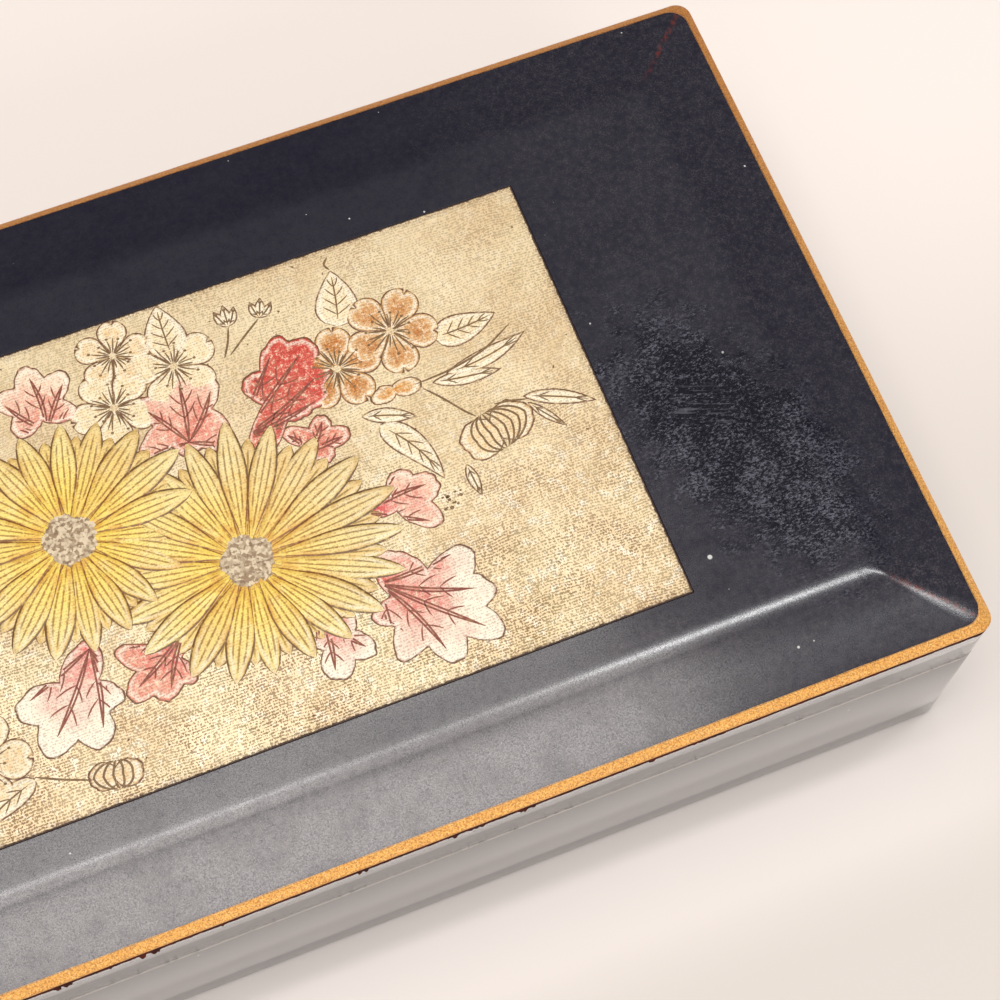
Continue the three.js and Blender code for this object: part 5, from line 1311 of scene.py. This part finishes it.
class BuildChrysanthemums(bpy.types.Operator):
    """Grows the two chrysanthemums: a back and a front row of petals round each heart, and its grains."""

    bl_idname = "jewelry_box.chrysanthemums"
    bl_label = "Chrysanthemums"

    def execute(self, context):
        sizes = settings().sizes
        pattern = Relief()
        inner = sizes.heart_radius - 1.2
        pattern.blade((inner, -LID_MIDDLE[1]), 0.0, sizes.petal_reach - inner, sizes.petal_width, petal_form,
                      GROUND + 0.08, 0.035, lambda u, v, x, y: WHITE, rows=20, columns=10)
        petal = link("petal_pattern", pattern.mesh("petal_pattern"))
        for number, (middle, petals) in enumerate(FLOWERS):
            raised = 0.03 * number
            for row, share, lift in (("back", 0.88, -0.02), ("front", 1.0, 0.0)):
                turns, reaches, places, shades = [], [], [], []
                ordered = sorted(petals)
                for i, (angle, reach) in enumerate(ordered):
                    if row == "back":
                        following = ordered[(i + 1) % len(ordered)]
                        gap = (following[0] - angle) % 360
                        angle, reach = angle + gap / 2, (reach + following[1]) / 2
                    turns.append(math.radians(angle))
                    reaches.append(reach * share / sizes.petal_reach)
                    uneven = 0.5 + 0.5 * noise.noise(Vector((i * 1.7, number, 0.0)))
                    shades.append(0.85 if row == "back" else uneven)
                    x, y = on_panel(*middle)
                    places.append(Vector((x, y, raised + lift + (row == "front") * 0.018 * (i * 3 % 4))) * MM)
                points = bpy.data.meshes.new("petal_points")
                points.from_pydata(places, [], [])
                for attribute, values in (("turn", turns), ("reach", reaches), ("shade", shades)):
                    points.attributes.new(attribute, "FLOAT", "POINT").data.foreach_set("value", values)
                name = f"chrysanthemum_{number + 1}_{row}_petals"
                mesh = grow(name, points, "Petals round a heart", {
                    "Petal": petal, "Spread": math.radians(1.2), "Breadth": 0.08, "Seed": sizes.seed + number,
                    "Paint": bpy.data.materials["chrysanthemum petals"]})
                ornament(name, mesh, "chrysanthemum petals")
            heart = Relief()
            heart.lobed(middle, [(middle[0] + sizes.heart_radius * math.cos(a),
                                  middle[1] + sizes.heart_radius * math.sin(a), sizes.heart_radius * 1.3)
                                 for a in (0.4, 1.7, 2.9, 4.1, 5.4)],
                        GROUND + 0.148 + raised, 0.02, lambda s, x, y: tone(96, 74, 48))
            name = f"chrysanthemum_{number + 1}_heart"
            ornament(name, heart.mesh(name), "heart grains")
            name = f"chrysanthemum_{number + 1}_grains"
            grains = grow(name, heart.mesh(name + "_bed"), "Grains on a heart", {
                "Grain": sizes.heart_grain * MM, "Flatness": 0.1, "Spacing": sizes.heart_grain * 1.35 * MM,
                "Seed": sizes.seed, "Paint": bpy.data.materials["heart grains"]})
            ornament(name, grains, "heart grains", 80)
        bpy.data.objects.remove(petal)
        return {"FINISHED"}


class BuildLeaves(bpy.types.Operator):
    """Makes the lobed leaves, the plain leaves, the buds and the blossoms of the panel."""

    bl_idname = "jewelry_box.leaves"
    bl_label = "Leaves and blossoms"

    def execute(self, context):
        ground = tuple(settings().colours.panel)
        lobed = Relief()
        for middle, root, tips, inner, outer, layer in LEAVES:
            longest = max((Vector((x, y)) - Vector(middle)).length for x, y, _ in tips)

            def wash(share, x, y, root=root, inner=inner, outer=outer, longest=longest):
                away = (Vector((x, y)) - Vector(root)).length / (1.75 * longest)
                patch = noise.noise(Vector((x * 0.22, y * 0.22, 1.0))) * 0.5
                return blend_tones(inner, outer, away * 1.35 + patch + 0.2 * share - 0.12)

            lobed.lobed(middle, tips, LAYER[layer], 0.03, wash)
        ornament("lobed_leaves", lobed.mesh("lobed_leaves"), "painted relief")

        blossoms = Relief()
        for middle, reach, first, orange, layer in BLOSSOMS:
            for petal in range(5):
                heading = first + 72 * petal
                start = (middle[0] + 0.6 * math.cos(math.radians(heading)),
                         middle[1] + 0.6 * math.sin(math.radians(heading)))

                def wash(u, v, x, y, orange=orange):
                    spot = math.exp(-(((u - 0.52) / 0.36) ** 2 + (v / 0.85) ** 2))
                    rust = blend_tones(OCHRE, tone(184, 104, 30), 0.6)
                    pale = blend_tones(ground, tone(236, 190, 112), 0.6 * orange)
                    return blend_tones(pale, rust, 1.15 * spot * orange)

                base = LAYER[layer] + 0.005 * (petal % 2)
                blossoms.blade(start, heading, reach, reach * 0.86, blossom_form, base, 0.03, wash,
                               notch=0.13, rows=14, columns=10)
        # A broad ochre wash below the two blossoms on the right
        blossoms.lobed((36.0, 9.8), [(41.0, 9.2, 4.0), (31.5, 9.0, 4.0)], GROUND + 0.008, 0.004,
                       lambda s, x, y: blend_tones(OCHRE, ground, s * s))
        ornament("blossoms", blossoms.mesh("blossoms"), "painted relief")

        plain = Relief()
        for start, heading, length, width, bend, kind, white in SPRAY:
            def wash(u, v, x, y, white=white):
                return blend_tones(ground, WHITE, white * (0.1 + 0.7 * abs(v)))

            plain.blade(start, heading, length, width, FORMS[kind], LAYER[0], 0.03, wash, bend=bend)
        for middle, long, broad, tilt in BUDS:
            a = math.radians(tilt)
            ends = [(middle[0] + s * long * math.cos(a), middle[1] + s * long * math.sin(a), broad * 2)
                    for s in (-1, 1)]
            plain.lobed(middle, ends, LAYER[1], 0.03, lambda s, x, y: blend_tones(ground, OCHRE, 0.2))
        ornament("plain_leaves_and_buds", plain.mesh("plain_leaves_and_buds"), "painted relief")
        return {"FINISHED"}


class BuildEngraving(bpy.types.Operator):
    """Draws the engraved lines: veins, stamens, ribs of the buds and stems, laid over the relief."""

    bl_idname = "jewelry_box.engraving"
    bl_label = "Engraved lines"

    def execute(self, context):
        sizes, colours = settings().sizes, settings().colours
        width, ink = sizes.line_width, tuple(colours.ink)
        points, faces = [], []
        for name in ("panel_ground", "lobed_leaves", "blossoms", "plain_leaves_and_buds",
                     "chrysanthemum_1_back_petals", "chrysanthemum_1_front_petals",
                     "chrysanthemum_2_back_petals", "chrysanthemum_2_front_petals"):
            mesh = bpy.data.objects[name].data
            offset = len(points)
            points += [v.co.copy() for v in mesh.vertices]
            faces += [[offset + i for i in p.vertices] for p in mesh.polygons]
        surface = BVHTree.FromPolygons(points, faces)
        lines = Engraving(surface)
        dice = random.Random(sizes.seed)
        crimson = tone(140, 42, 44)
        for middle, root, tips, *_ in LEAVES:
            lines.within = Relief().lobed(middle, tips, 0.0, 0.0, lambda s, x, y: WHITE, 12, 1)
            tint = blend_tones(ink, crimson, 0.65)
            for x, y, tip_width in tips:
                end = Vector(root).lerp(Vector((x, y)), 0.82)
                if (end - Vector(root)).length < 3.0:
                    continue
                bow = dice.uniform(-0.05, 0.05)
                lines.pair(root, end, 0.62, width, tint, bow)
                for share in (0.42, 0.64):
                    along = Vector(root).lerp(end, share)
                    way = (end - Vector(root)).normalized()
                    for sign in (-1, 1):
                        side = Matrix.Rotation(math.radians(38 * sign), 2) @ way
                        reach = tip_width * dice.uniform(0.34, 0.5)
                        lines.stroke(along, along + side * reach, width * 0.8, tint, 0.05 * sign)
        lines.within = lambda point: True
        for middle, reach, first, *_ in BLOSSOMS:
            for k in range(STAMENS):
                angle = math.radians(first + 360 / STAMENS * k + dice.uniform(-4, 4))
                near, far = reach * dice.uniform(0.08, 0.14), reach * dice.uniform(0.36, 0.62)
                way = Vector((math.cos(angle), math.sin(angle)))
                lines.stroke(Vector(middle) + way * near, Vector(middle) + way * far, width * 0.8, ink,
                             dice.uniform(-0.04, 0.04))
                if k % 2:
                    spot = Vector(middle) + way * (far + 0.35)
                    lines.dot(spot.x, spot.y, 0.28, ink)
        for start, heading, length, breadth, bend, kind, _ in SPRAY:
            place = Relief().blade(start, heading, length, breadth, FORMS[kind], LAYER[0], 0.05,
                                   lambda u, v, x, y: WHITE, bend=bend, rows=2, columns=2)
            lines.veins(place, width * 0.85, ink, 4 if kind == "broad" else 2)
        for middle, long, broad, tilt in BUDS:
            turn = Matrix.Rotation(math.radians(tilt), 2)
            ribs = max(3, int(long * 1.2))
            steps = [-1.35 + 2.7 * i / 12 for i in range(13)]
            for rib in range(ribs):
                share = -0.8 + 1.6 * rib / (ribs - 1)
                arc = [Vector((share * long * math.cos(t) * 0.9 + 0.12 * long * (1 - abs(t)),
                               broad * 0.92 * math.sin(t))) for t in steps]
                lines.line([Vector(middle) + turn @ point for point in arc], width * 1.15, ink)
        for stem in STEMS:
            way = [Vector(p) for p in stem]
            fine = []
            for i in range(len(way) - 1):
                fine += [way[i].lerp(way[i + 1], s / 5) for s in range(5)]
            fine.append(way[-1])
            for _ in range(3):
                fine = [fine[0]] + [(fine[i - 1] + fine[i] * 2 + fine[i + 1]) / 4
                                    for i in range(1, len(fine) - 1)] + [fine[-1]]
            lines.line(fine, width * 1.1, ink)
        for _ in range(16):
            lines.dot(38.0 + dice.uniform(-2.2, 2.2), -14.0 + dice.uniform(-1.8, 1.8),
                      dice.uniform(0.15, 0.4), ink)
        ornament("engraved_lines", lines.mesh("engraved_lines"), "engraved line", 180)
        return {"FINISHED"}


class BuildCase(bpy.types.Operator):
    """Makes the lacquered case, its bare base board and blocks, and the felt feet."""

    bl_idname = "jewelry_box.case"
    bl_label = "Case and base"

    def execute(self, context):
        low, high = CASE_LOW.z, CASE_HIGH.z
        rabbet, floor = 5.0, node_box("base_board")[1].z
        section = ((0.4, low), (0.1, low + 0.12), (0.0, low + 0.45), (0.0, high - 0.3), (0.09, high - 0.07),
                   (0.3, high), (WALL - 0.25, high, 1.0), (WALL, high - 0.25, 1.0), (WALL, floor, 1.0),
                   (rabbet, floor, 1.0), (rabbet, low + 0.2, 1.0), (rabbet - 0.2, low, 1.0))
        case = skin("case_lacquer", [box_ring(*corner) for corner in section], ring=True)
        carve(case, mortises("hinge_body_leaf", high - 1, high + 3))
        dress(case, "wall lacquer", "case", ("body_case",), 30)
        refined("base_board", "bare board", "case", 0.25)
        for place in ("front_left", "front_right", "back_left", "back_right"):
            refined("corner_block_" + place, "bare board", "case", 0.5)
            foot_low, foot_high = node_box("felt_foot_" + place)
            middle = (foot_low + foot_high) / 2
            radius, top, bottom = (foot_high.x - foot_low.x) / 2, foot_high.z, foot_low.z
            angles = [2 * math.pi * i / 64 for i in range(64)]
            profile = ((0.93, bottom), (0.985, bottom + 0.18), (1.0, bottom + 0.6), (1.0, top - 0.3),
                       (0.97, top))
            loops = [[(middle.x + radius * share * math.cos(a), middle.y + radius * share * math.sin(a), z)
                      for a in angles] for share, z in profile]
            dress(skin("foot_" + place, loops), "felt", "case", ("felt_foot_" + place,), 50)
        return {"FINISHED"}


def covered_board(name, node, round_top):
    """A velvet-covered board or card, its edges turned over softly and its faces a little uneven."""
    low, high = node_box(node)
    size = high - low
    steps = [max(2, min(60, int(s / 3.0))) for s in size]
    work = bmesh.new()
    bmesh.ops.create_cube(work, size=1.0)
    for vertex in work.verts:
        vertex.co = Vector((low[i] + (vertex.co[i] + 0.5) * size[i] for i in range(3)))
    bmesh.ops.bevel(work, geom=list(work.edges), offset=min(round_top, min(size) * 0.48), segments=4,
                    profile=0.5, affect="EDGES", clamp_overlap=True)
    for axis in range(3):
        for step in range(1, steps[axis]):
            place = low.copy()
            place[axis] = low[axis] + size[axis] * step / steps[axis]
            normal = Vector((0, 0, 0))
            normal[axis] = 1
            bmesh.ops.bisect_plane(work, geom=work.verts[:] + work.edges[:] + work.faces[:], plane_co=place,
                                   plane_no=normal)
    work.normal_update()
    for vertex in work.verts:
        drift = noise.noise(vertex.co * 0.16) * 0.1 + noise.noise(vertex.co * 0.5) * 0.04 - 0.08
        vertex.co = vertex.co + vertex.normal * drift
        for i in range(3):
            vertex.co[i] = min(max(vertex.co[i], low[i]), high[i])
        vertex.co = vertex.co * MM
    mesh = bpy.data.meshes.new(name)
    work.to_mesh(mesh)
    work.free()
    dress(link(name, mesh), "velvet", "case", (node,), 70)


class BuildLining(bpy.types.Operator):
    """Makes the velvet lining of the case: floor, walls and dividers."""

    bl_idname = "jewelry_box.lining"
    bl_label = "Velvet lining"

    def execute(self, context):
        covered_board("velvet_floor", "floor_liner", 0.5)
        for name in ("divider_long", "divider_left_front", "divider_left_back", "divider_right_back"):
            covered_board(name + "_velvet", name, 1.9)
        low, high = node_box("wall_liner")
        half = ((high.x - low.x) / 2, (high.y - low.y) / 2)
        thick = 1.2
        rows = []
        bottom, top = low.z, high.z
        for inset, z in ((0.0, bottom), (0.0, top - 0.6), (0.18, top - 0.15), (0.6, top), (1.02, top - 0.15),
                         (thick, top - 0.6), (thick, (top + bottom) / 2 + 5), (thick, (top + bottom) / 2),
                         (thick, (top + bottom) / 2 - 5), (thick, bottom)):
            loop = []
            for p in outline(half[0] - inset, half[1] - inset, 0.8, LID_MIDDLE, 6, LINING_SIDES):
                drift = noise.noise(Vector((p.x, p.y, z)) * 0.12) * 0.12 if inset == thick else 0.0
                way = (Vector(LID_MIDDLE) - p).normalized()
                loop.append((p.x + way.x * drift, p.y + way.y * drift, z))
            rows.append(loop)
        dress(skin("velvet_walls", rows, ring=True), "velvet", "case", ("wall_liner",), 60)
        return {"FINISHED"}


def roll_form(low, high, shrink):
    """A plump roll between two corners, with gathered ends, as rings of points."""
    middle, half = (low + high) / 2, (high - low) / 2
    around, stations = 32, 46
    loops = []
    for station in range(stations + 1):
        share = -1 + 2 * station / stations
        girth = (1 - abs(share) ** 9) ** (1 / 3.2) if abs(share) < 1 else 0.0
        girth = max(girth, 0.42)
        loop = []
        for i in range(around):
            a = 2 * math.pi * i / around
            c, s = math.cos(a), math.sin(a)
            y = math.copysign(abs(c) ** 0.82, c) * (half.y - shrink) * girth
            z = math.copysign(abs(s) ** 0.86, s) * (half.z - shrink) * girth
            z = max(z, -(half.z - shrink) * 0.93)
            loop.append((middle.x + share * (half.x - shrink), middle.y + y, middle.z + z))
        loops.append(loop)
    ends = []
    for loop, inward in ((loops[0], 1), (loops[-1], -1)):
        centre = sum((Vector(p) for p in loop), Vector()) / around
        rings = []
        for share, dip in ((0.72, 0.15), (0.45, 0.5), (0.2, 0.9)):
            rings.append([tuple(centre + (Vector(p) - centre) * share + Vector((inward * dip, 0, 0)))
                          for p in loop])
        ends.append(rings)
    return ends[0][::-1] + loops + ends[1]


class BuildRingRolls(bpy.types.Operator):
    """Fills the five padded ring rolls with cloth under pressure, and stitches their ends."""

    bl_idname = "jewelry_box.ring_rolls"
    bl_label = "Ring rolls"

    def execute(self, context):
        cap = settings().sizes.roll_cap
        seam_points, seam_edges = [], []
        for number in range(1, 6):
            node = f"ring_roll_{number}"
            low, high = node_box(node)
            roll = skin(f"padded_roll_{number}", roll_form(low, high, 0.45))
            before = [v.co.copy() for v in roll.data.vertices]
            cloth = roll.modifiers.new("Filling", "CLOTH")
            cloth.settings.quality = 6
            cloth.settings.mass = 0.2
            cloth.settings.use_pressure = True
            cloth.settings.uniform_pressure_force = 4.0
            cloth.settings.effector_weights.gravity = 0.0
            cloth.settings.tension_stiffness = 20.0
            cloth.settings.compression_stiffness = 20.0
            cloth.settings.bending_stiffness = 0.6
            for step in range(1, 21):
                context.scene.frame_set(step)
            graph = context.evaluated_depsgraph_get()
            filled = bpy.data.meshes.new_from_object(roll.evaluated_get(graph), depsgraph=graph)
            roll.modifiers.clear()
            context.scene.frame_set(1)
            after = [v.co.copy() for v in filled.vertices]
            bpy.data.meshes.remove(filled)
            for vertex, old, new in zip(roll.data.vertices, before, after):
                move = new - old
                if move.length > cap * MM:
                    move = move.normalized() * cap * MM
                place = (old + move) / MM
                crease = noise.noise(Vector((place.x * 0.5, place.y * 0.25, place.z * 0.25 + number * 7)))
                pull = max(0.0, abs(place.x - (low.x + high.x) / 2) / ((high.x - low.x) / 2) - 0.72) / 0.28
                angle = math.atan2(place.z - (low.z + high.z) / 2, place.y - (low.y + high.y) / 2)
                gather = 0.22 * pull * math.sin(11 * angle + number)
                middle = Vector((place.x, (low.y + high.y) / 2, (low.z + high.z) / 2))
                out = place - middle
                if out.length > 1e-6:
                    place += out.normalized() * (0.14 * crease + gather - 0.1)
                for i in range(3):
                    place[i] = min(max(place[i], low[i]), high[i])
                vertex.co = place * MM
            dress(roll, "velvet", "case", (node,), 180)
            soft = roll.modifiers.new("Soft", "SUBSURF")
            soft.levels = soft.render_levels = 1
            middle = (low + high) / 2
            for side in (-1, 1):
                first = len(seam_points)
                for i in range(40):
                    a = 2 * math.pi * i / 40
                    seam_points.append((middle.x + side * ((high.x - low.x) / 2 - 0.75),
                                        middle.y + math.cos(a) * (high.y - low.y) * 0.26,
                                        middle.z + math.sin(a) * (high.z - low.z) * 0.26))
                seam_edges += [(first + i, first + (i + 1) % 40) for i in range(40)]
        seam = bpy.data.meshes.new("roll_seams")
        seam.from_pydata([Vector(p) * MM for p in seam_points], seam_edges, [])
        stitches = grow("roll_stitches", seam, "Stitches along a seam", {
            "Pitch": 1.3 * MM, "Thread": 0.2 * MM, "Paint": bpy.data.materials["thread"]})
        dress(link("roll_stitches", stitches), "thread", "case", (), 180)
        return {"FINISHED"}


class BuildLidLining(bpy.types.Operator):
    """Makes the velvet-covered frame in the lid and gives the mirror its silver."""

    bl_idname = "jewelry_box.lid_lining"
    bl_label = "Lid lining and mirror"

    def execute(self, context):
        low, high = node_box("lid_liner")
        half = ((high.x - low.x) / 2, (high.y - low.y) / 2)
        glass_low, glass_high = node_box("mirror")
        window = ((glass_high.x - glass_low.x) / 2, (glass_high.y - glass_low.y) / 2)
        middle = ((glass_high.x + glass_low.x) / 2, (glass_high.y + glass_low.y) / 2)
        rows = []
        bottom, top = low.z, high.z
        for share, z in ((0.0, top), (0.0, bottom + 1.1), (0.012, bottom + 0.4), (0.05, bottom + 0.02),
                         (0.3, bottom), (0.6, bottom), (0.86, bottom + 0.02), (0.94, bottom + 0.25),
                         (0.985, bottom + 0.7), (1.0, bottom + 1.0), (1.0, top)):
            outer = outline(half[0], half[1], 1.0, LID_MIDDLE, 6, LINING_SIDES)
            inner = outline(window[0] + 0.25, window[1] + 0.25, 0.6, middle, 6, LINING_SIDES)
            if share >= 0.86 and z < glass_low.z:
                inner = outline(window[0] - 1.6, window[1] - 1.6, 0.6, middle, 6, LINING_SIDES)
            loop = []
            for a, b in zip(outer, inner):
                p = a.lerp(b, share)
                drift = abs(noise.noise(Vector((p.x * 0.14, p.y * 0.14, 2.0)))) * 0.16
                loop.append((p.x, p.y, z + drift if 0.02 < share < 0.95 else z))
            rows.append(loop)
        dress(skin("lid_lining", rows, ring=True), "lid velvet", "lid", ("lid_liner",), 60)
        refined("mirror", "mirror", "lid", 0)
        return {"FINISHED"}


# The movement: node, finish, slot, body and how far its edges are softened
MOVEMENT = (
    ("movement_bedplate", "die-cast zinc", "cast_zinc", "case", 0.2),
    ("governor_bracket", "die-cast zinc", "cast_zinc", "case", 0.12),
    ("comb", "comb steel", "steel", "case", 0.04),
    ("comb_screw_1", "brass", "brass", "case", 0.1),
    ("comb_screw_2", "brass", "brass", "case", 0.1),
    ("movement_screw_1", "bright steel", "steel", "case", 0.1),
    ("movement_screw_2", "bright steel", "steel", "case", 0.1),
    ("movement_screw_3", "bright steel", "steel", "case", 0.1),
    ("stop_rod_bush", "brass", "brass", "case", 0.1),
    ("movement_cover", "clear cover", "clear_cover", "case", 0),
    ("barrel_gear", "brass", "brass", "barrel", 0.0),
    ("spring_drum", "brass", "brass", "barrel", 0.2),
    ("pin_cylinder", "brass", "brass", "cylinder", 0.0),
    ("governor_wheel", "brass", "brass", "governor", 0.0),
    ("winding_key", "brass", "brass", "key", 0.35),
    ("mainspring", "bright steel", "steel", "barrel", 0.08),
    ("winding_arbor", "bright steel", "steel", "key", 0.08),
    ("governor_fan", "bright steel", "steel", "fan", 0.0),
    ("stop_lever", "bright steel", "steel", "stop_lever", 0.08),
    ("stop_rod", "bright steel", "steel", "stop_rod", 0.08),
)


class BuildMovement(bpy.types.Operator):
    """Finishes the musical movement, its clear cover, its stop and the winding key."""

    bl_idname = "jewelry_box.movement"
    bl_label = "Musical movement"

    def execute(self, context):
        for node, finish, slot, body, edge in MOVEMENT:
            refined(node, finish, body, edge)
        return {"FINISHED"}


class BuildHinges(bpy.types.Operator):
    """Finishes the two brass hinges with their pins and screws."""

    bl_idname = "jewelry_box.hinges"
    bl_label = "Brass hinges"

    def execute(self, context):
        for side in ("left", "right"):
            refined("hinge_pin_" + side, "brass", "case", 0.1)
            refined("hinge_body_leaf_" + side, "brass", "case", 0.08)
            refined("hinge_lid_leaf_" + side, "brass", "lid", 0.08)
            for number in (1, 2):
                refined(f"hinge_body_screw_{side}_{number}", "brass", "case", 0.06)
                refined(f"hinge_lid_screw_{side}_{number}", "brass", "lid", 0.06)
        return {"FINISHED"}


class BuildFinishes(bpy.types.Operator):
    """Builds the shared effects, the finishes and the geometry trees."""

    bl_idname = "jewelry_box.finishes"
    bl_label = "Finishes"

    def execute(self, context):
        build_shared_effects()
        build_trees()
        colours = settings().colours
        for finish in (lid_lacquer_finish, wall_lacquer_finish, undercoat_finish, gilt_finish,
                       panel_ground_finish, painted_relief_finish, ink_finish, heart_finish, wood_finish,
                       mirror_finish, clear_finish):
            finish()
        petal_finish([on_panel(*middle) for middle, _ in FLOWERS])
        velvet_finish("velvet", tuple(colours.velvet), 0.25)
        velvet_finish("lid velvet", blend_tones(tuple(colours.velvet), tone(150, 24, 40), 0.4), 0.25)
        velvet_finish("thread", tone(170, 40, 48), 0.1)
        velvet_finish("felt", tone(34, 44, 38), 0.4)
        metal_finish("brass", tone(222, 176, 92), tone(140, 96, 44), 0.2, 0.0)
        metal_finish("bright steel", tone(190, 192, 196), tone(120, 118, 116), 0.2, 0.0)
        metal_finish("comb steel", tone(178, 180, 184), tone(104, 104, 110), 0.24, 1.0)
        metal_finish("die-cast zinc", tone(156, 156, 152), tone(110, 108, 104), 0.42, 1.0)
        return {"FINISHED"}


def soft_lamp(name, low, high, radiance, tint=(1.0, 1.0, 1.0)):
    """A level rectangle of light between two corners, in metres, that shines downward."""
    data = bpy.data.lights.new(name, "AREA")
    data.shape = "RECTANGLE"
    data.size, data.size_y = high[0] - low[0], high[1] - low[1]
    data.energy = radiance * math.pi * data.size * data.size_y
    data.color = tint
    lamp = bpy.data.objects.new(name, data)
    lamp.location = ((low[0] + high[0]) / 2, (low[1] + high[1]) / 2, low[2])
    bpy.context.scene.collection.objects.link(lamp)
    return lamp


class BuildStage(bpy.types.Operator):
    """Lays the pale floor, hangs the lamps and sets the camera."""

    bl_idname = "jewelry_box.stage"
    bl_label = "Stage"

    def execute(self, context):
        scene = context.scene
        scene.view_settings.view_transform = "Standard"
        work = bmesh.new()
        bmesh.ops.create_grid(work, x_segments=8, y_segments=8, size=3.0)
        mesh = bpy.data.meshes.new("floor")
        work.to_mesh(mesh)
        work.free()
        floor = link("floor", mesh)
        w, shader = new_material("floor", {"Roughness": 0.9, "Specular IOR Level": 0.15})
        tint = tuple(settings().colours.floor)
        place = w.place()
        x, y, _ = w.split(place)
        ground = w.mix(w.fade(w.noise(place, 0.01, 2.0), 0.3, 0.7), tint,
                       blend_tones(tint, tone(228, 217, 206), 0.25))
        # Painted light: the floor is paler close to the front wall, over the box's shadow, which the wall
        # mirrors
        beside = w.fade(y, -110.0, -74.0) * w.fade(y, -20.0, -70.0)
        beside = beside * w.fade(abs(x), 170.0, 100.0)
        ground = w.mix(beside, ground, tone(250, 242, 236))
        # Painted light: the floor grows paler towards the back
        w.put(shader["Base Color"], w.mix(w.fade(y, -60.0, 60.0), ground, tone(248, 239, 231)))
        # The floor ends softly in the pale backdrop
        w.put(shader["Alpha"], w.fade(w.vector("LENGTH", place), 750.0, 1500.0, 1.0, 0.0))
        mesh.materials.append(bpy.data.materials["floor"])

        soft_lamp("front softbox", (-0.485, -0.24, 1.2), (0.3, 0.06, 1.2), 6.6, (1.0, 0.93, 0.88))
        soft_lamp("back softbox", (-0.485, 0.06, 1.2), (0.27, 0.37, 1.2), 4.8, (1.0, 0.94, 0.9))
        soft_lamp("strip lamp", (0.24, 0.0, 1.18), (0.66, 0.07, 1.18), 22.0)
        soft_lamp("strip lamp end", (-0.3, 0.01, 1.18), (0.24, 0.06, 1.18), 7.0)
        fill = soft_lamp("front fill", (-0.65, -0.4, 0.0), (0.65, 0.4, 0.0), 2.0)
        fill.matrix_world = Matrix.Translation((0.1, -1.35, 0.8)) @ Matrix.Rotation(math.radians(60), 4, "X")
        world = bpy.data.worlds.new("studio")
        scene.world = world
        world.use_nodes = True
        w = Wiring(world.node_tree)
        z = w.split(w.add("ShaderNodeTexCoord").outputs["Generated"])[2]
        ramp = w.add("ShaderNodeValToRGB")
        w.put(ramp.inputs[0], z)
        stops = [(0.0, (0.8, 0.77, 0.73)), (0.12, (0.78, 0.75, 0.71)), (0.26, (0.5, 0.49, 0.48)),
                 (0.45, (0.2, 0.2, 0.21)), (0.63, (0.2, 0.2, 0.22)), (0.766, (0.28, 0.28, 0.3)),
                 (0.883, (0.42, 0.42, 0.44))]
        while len(ramp.color_ramp.elements) < len(stops):
            ramp.color_ramp.elements.new(0.5)
        for element, (place, colour) in zip(ramp.color_ramp.elements, stops):
            element.position = place
            element.color = (*colour, 1.0)
        w.put(world.node_tree.nodes["Background"].inputs["Color"], ramp.outputs[0])

        data = bpy.data.cameras.new("camera")
        data.lens, data.sensor_width = 80.064, 36.0
        data.clip_start, data.clip_end = 0.01, 20.0
        camera = bpy.data.objects.new("camera", data)
        right = Vector((0.92974404, -0.36753408, 0.02224232))
        up = Vector((0.33353699, 0.8662528, 0.37196662))
        back = Vector((-0.15597788, -0.33841511, 0.92797959))
        turn = Matrix((right, up, back)).transposed().to_4x4()
        camera.matrix_world = Matrix.Translation((-0.0158686, -0.1535231, 0.4239789)) @ turn
        scene.collection.objects.link(camera)
        scene.camera = camera
        return {"FINISHED"}


BUILDERS = (BuildStage, BuildFinishes, BuildCase, BuildLid, BuildGiltEdge, BuildPanel, BuildChrysanthemums,
            BuildLeaves, BuildEngraving, BuildLining, BuildRingRolls, BuildLidLining, BuildMovement,
            BuildHinges)


class JewelryBoxPanel(bpy.types.Panel):
    """Lists the jewelry box's parts and its sizes and colours."""

    bl_idname = "VIEW3D_PT_jewelry_box"
    bl_label = "Jewelry Box"
    bl_space_type = "VIEW_3D"
    bl_region_type = "UI"
    bl_category = "Jewelry Box"

    def draw(self, context):
        box = context.scene.jewelry_box
        for group in (box.sizes, box.colours):
            column = self.layout.column()
            for name in group.__annotations__:
                column.prop(group, name)
        for builder in BUILDERS:
            self.layout.operator(builder.bl_idname)


CLASSES = (BoxSizes, BoxColours, BoxSettings, *BUILDERS, JewelryBoxPanel)


def register():
    for each in CLASSES:
        bpy.utils.register_class(each)
    bpy.types.Scene.jewelry_box = PointerProperty(type=BoxSettings)


def unregister():
    del bpy.types.Scene.jewelry_box
    for each in reversed(CLASSES):
        bpy.utils.unregister_class(each)


def main():
    """Builds the whole box."""
    register()
    for builder in BUILDERS:
        group, name = builder.bl_idname.split(".")
        getattr(getattr(bpy.ops, group), name)()


if __name__ == "__main__":
    main()
